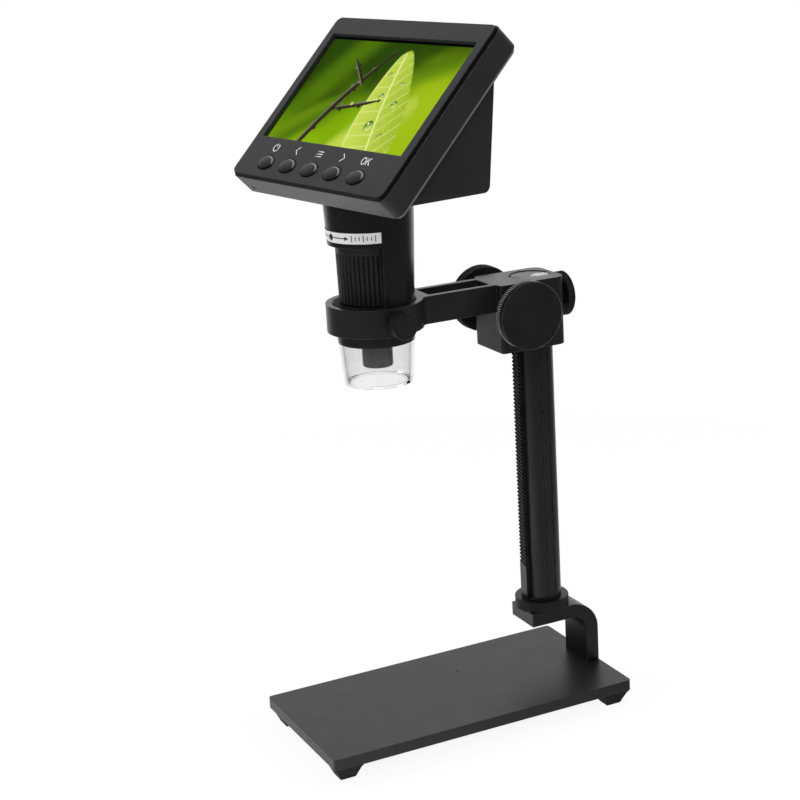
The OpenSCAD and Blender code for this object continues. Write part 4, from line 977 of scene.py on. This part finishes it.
def label_marks():
    """A line with a dot and an arrow head, and a short scale of ticks beyond it."""
    bm = bmesh.new()
    for start, end in LABEL_LINES:
        places = [start + (end - start) * i / LINE_CELLS for i in range(LINE_CELLS + 1)]
        for a, b in zip(places, places[1:]):
            label_cell(bm, a, b, LINE_HALF, LINE_HALF)
    span = (180 - 2 * DOT_BLUNT) / DOT_CELLS
    turns = [math.radians(DOT_BLUNT + span * i) for i in range(DOT_CELLS + 1)]
    dot = [(DOT_AT - DOT_HALF_ANGLE * math.cos(t), DOT_HALF * math.sin(t)) for t in turns]
    for (a, half), (b, end_half) in zip(dot, dot[1:]):
        label_cell(bm, a, b, half, end_half)
    arrow_head = [(ARROW_FROM, -ARROW_HALF), (ARROW_TO, 0), (ARROW_FROM, ARROW_HALF)]
    patch(bm, arrow_head, on_label, *FILM_PRINT)
    for i in range(TICKS):
        half = SHORT_TICK if i % 3 else LONG_TICK
        a = TICK_FROM + i * TICK_PITCH
        label_cell(bm, a - TICK_HALF_ANGLE, a + TICK_HALF_ANGLE, half, half)
    link("label_marks", bm, black_print, "head")


label_marks()

# ------------------------------------------------------------------ floor and light

WHITE = (1.0, 1.0, 1.0, 1.0)
STUDIO_SIDE = (-0.906, 0.423, 0.0)  # the room's bright side, level and away from the camera
STUDIO_DARK = 0.12  # brightness of the other side
PAPER_SIDE = (-0.8, -0.6, 0.0)  # the bright side of the paper near the object
PAPER_DARK = 0.22  # brightness of its other side
PAPER_HALF, PAPER_CELLS = 8.0, 32  # half its width in metres, cells each way


def studio_light(g, way):
    """The room's brightness in a level direction."""
    return g.step(g.dot(way, STUDIO_SIDE), 0.45, 0.95, STUDIO_DARK, 1.0)


def floor_paper():
    """White paper: a soft shadow under the object, plain white beyond it.

    Only reflections see that its brightness is uneven. Distances are in mm.
    """
    material = bpy.data.materials.new("floor_paper")
    material.use_nodes = True
    g = Graph(material.node_tree)
    g.tree.nodes.clear()
    at = g.place()
    away = g.length(at)
    fibre = g.mix(g.noise(0.8, 3.0), linear(236, 236, 236), linear(240, 240, 240))
    diffuse = g.node("ShaderNodeBsdfDiffuse", {0: fibre})
    near = g.step(g.dot(at, PAPER_SIDE), -150.0, 50.0, PAPER_DARK, 1.0)
    far = studio_light(g, g.vector("NORMALIZE", at))
    distant = g.step(away, 200.0, 500.0)
    level = near * (1.0 - distant) + far * distant
    strength = g.larger(level, 1.0 - g.rays("Glossy"))
    white = g.node("ShaderNodeEmission", {0: WHITE, 1: strength})
    x, y = (g.math("ABSOLUTE", g.part(at, i)) for i in (0, 1))
    outside = g.larger(x - PLATE_HALF.x, y - PLATE_HALF.y)
    shadowless = g.larger(g.step(outside, -24.0, -8.0, 0.6, 0.92), g.step(away, 150.0, 500.0))
    share = g.rays("Camera", "Glossy", "Transmission") * shadowless
    both = g.node("ShaderNodeMixShader", {0: share, 1: diffuse, 2: white})
    g.node("ShaderNodeOutputMaterial", {0: both})
    return material


def make_floor():
    """The sheet of paper that the object stands on."""
    bm = bmesh.new()
    bmesh.ops.create_grid(bm, x_segments=PAPER_CELLS, y_segments=PAPER_CELLS, size=PAPER_HALF)
    mesh = bpy.data.meshes.new("floor")
    bm.to_mesh(mesh)
    bm.free()
    mesh.materials.append(floor_paper())
    floor = bpy.data.objects.new("floor", mesh)
    bpy.context.scene.collection.objects.link(floor)


def make_world():
    """White to the camera and through the clear cap; to the object, a room with a bright side."""
    world = bpy.data.worlds.new("studio")
    bpy.context.scene.world = world
    world.use_nodes = True
    g = Graph(world.node_tree)
    g.tree.nodes.clear()
    way = g.node("ShaderNodeTexCoord", out="Generated")
    level_way = g.vector("NORMALIZE", g.vector("MULTIPLY", way, LEVEL))
    overhead = g.step(g.part(way, 2), 0.45, 0.95, 1.0, 0.45)
    level = overhead * studio_light(g, level_way)
    strength = g.larger(level, g.rays("Camera", "Transmission"))
    ground = g.node("ShaderNodeBackground", {0: WHITE, 1: strength})
    g.node("ShaderNodeOutputWorld", {0: ground})


# name, place, target and size in metres, watts
SOFTBOXES = (
    ("key_light", (-0.55, -0.75, 0.95), (0.0, 0.0, 0.16), (0.7, 0.5), 9.0),
    ("top_light", (0.1, 0.25, 1.25), (0.0, 0.0, 0.15), (0.9, 0.6), 7.0),
    ("front_light", (0.95, -0.55, 0.75), (0.0, 0.0, 0.17), (0.8, 0.8), 8.0),
    ("back_light", (0.55, 0.95, 0.6), (0.0, 0.0, 0.16), (0.7, 0.7), 5.0),
)


def softbox(name, at, target, size, watts):
    """A soft lamp that reflections don't see."""
    data = bpy.data.lights.new(name, "AREA")
    data.shape = "RECTANGLE"
    data.size, data.size_y = size
    data.energy = watts
    lamp_object = bpy.data.objects.new(name, data)
    bpy.context.scene.collection.objects.link(lamp_object)
    lamp_object.location = at
    way = Vector(target) - Vector(at)
    lamp_object.rotation_mode = "QUATERNION"
    lamp_object.rotation_quaternion = way.to_track_quat("-Z", "Y")
    lamp_object.visible_glossy = False


make_floor()
make_world()
for box in SOFTBOXES:
    softbox(*box)
bpy.context.scene.view_settings.view_transform = "Standard"
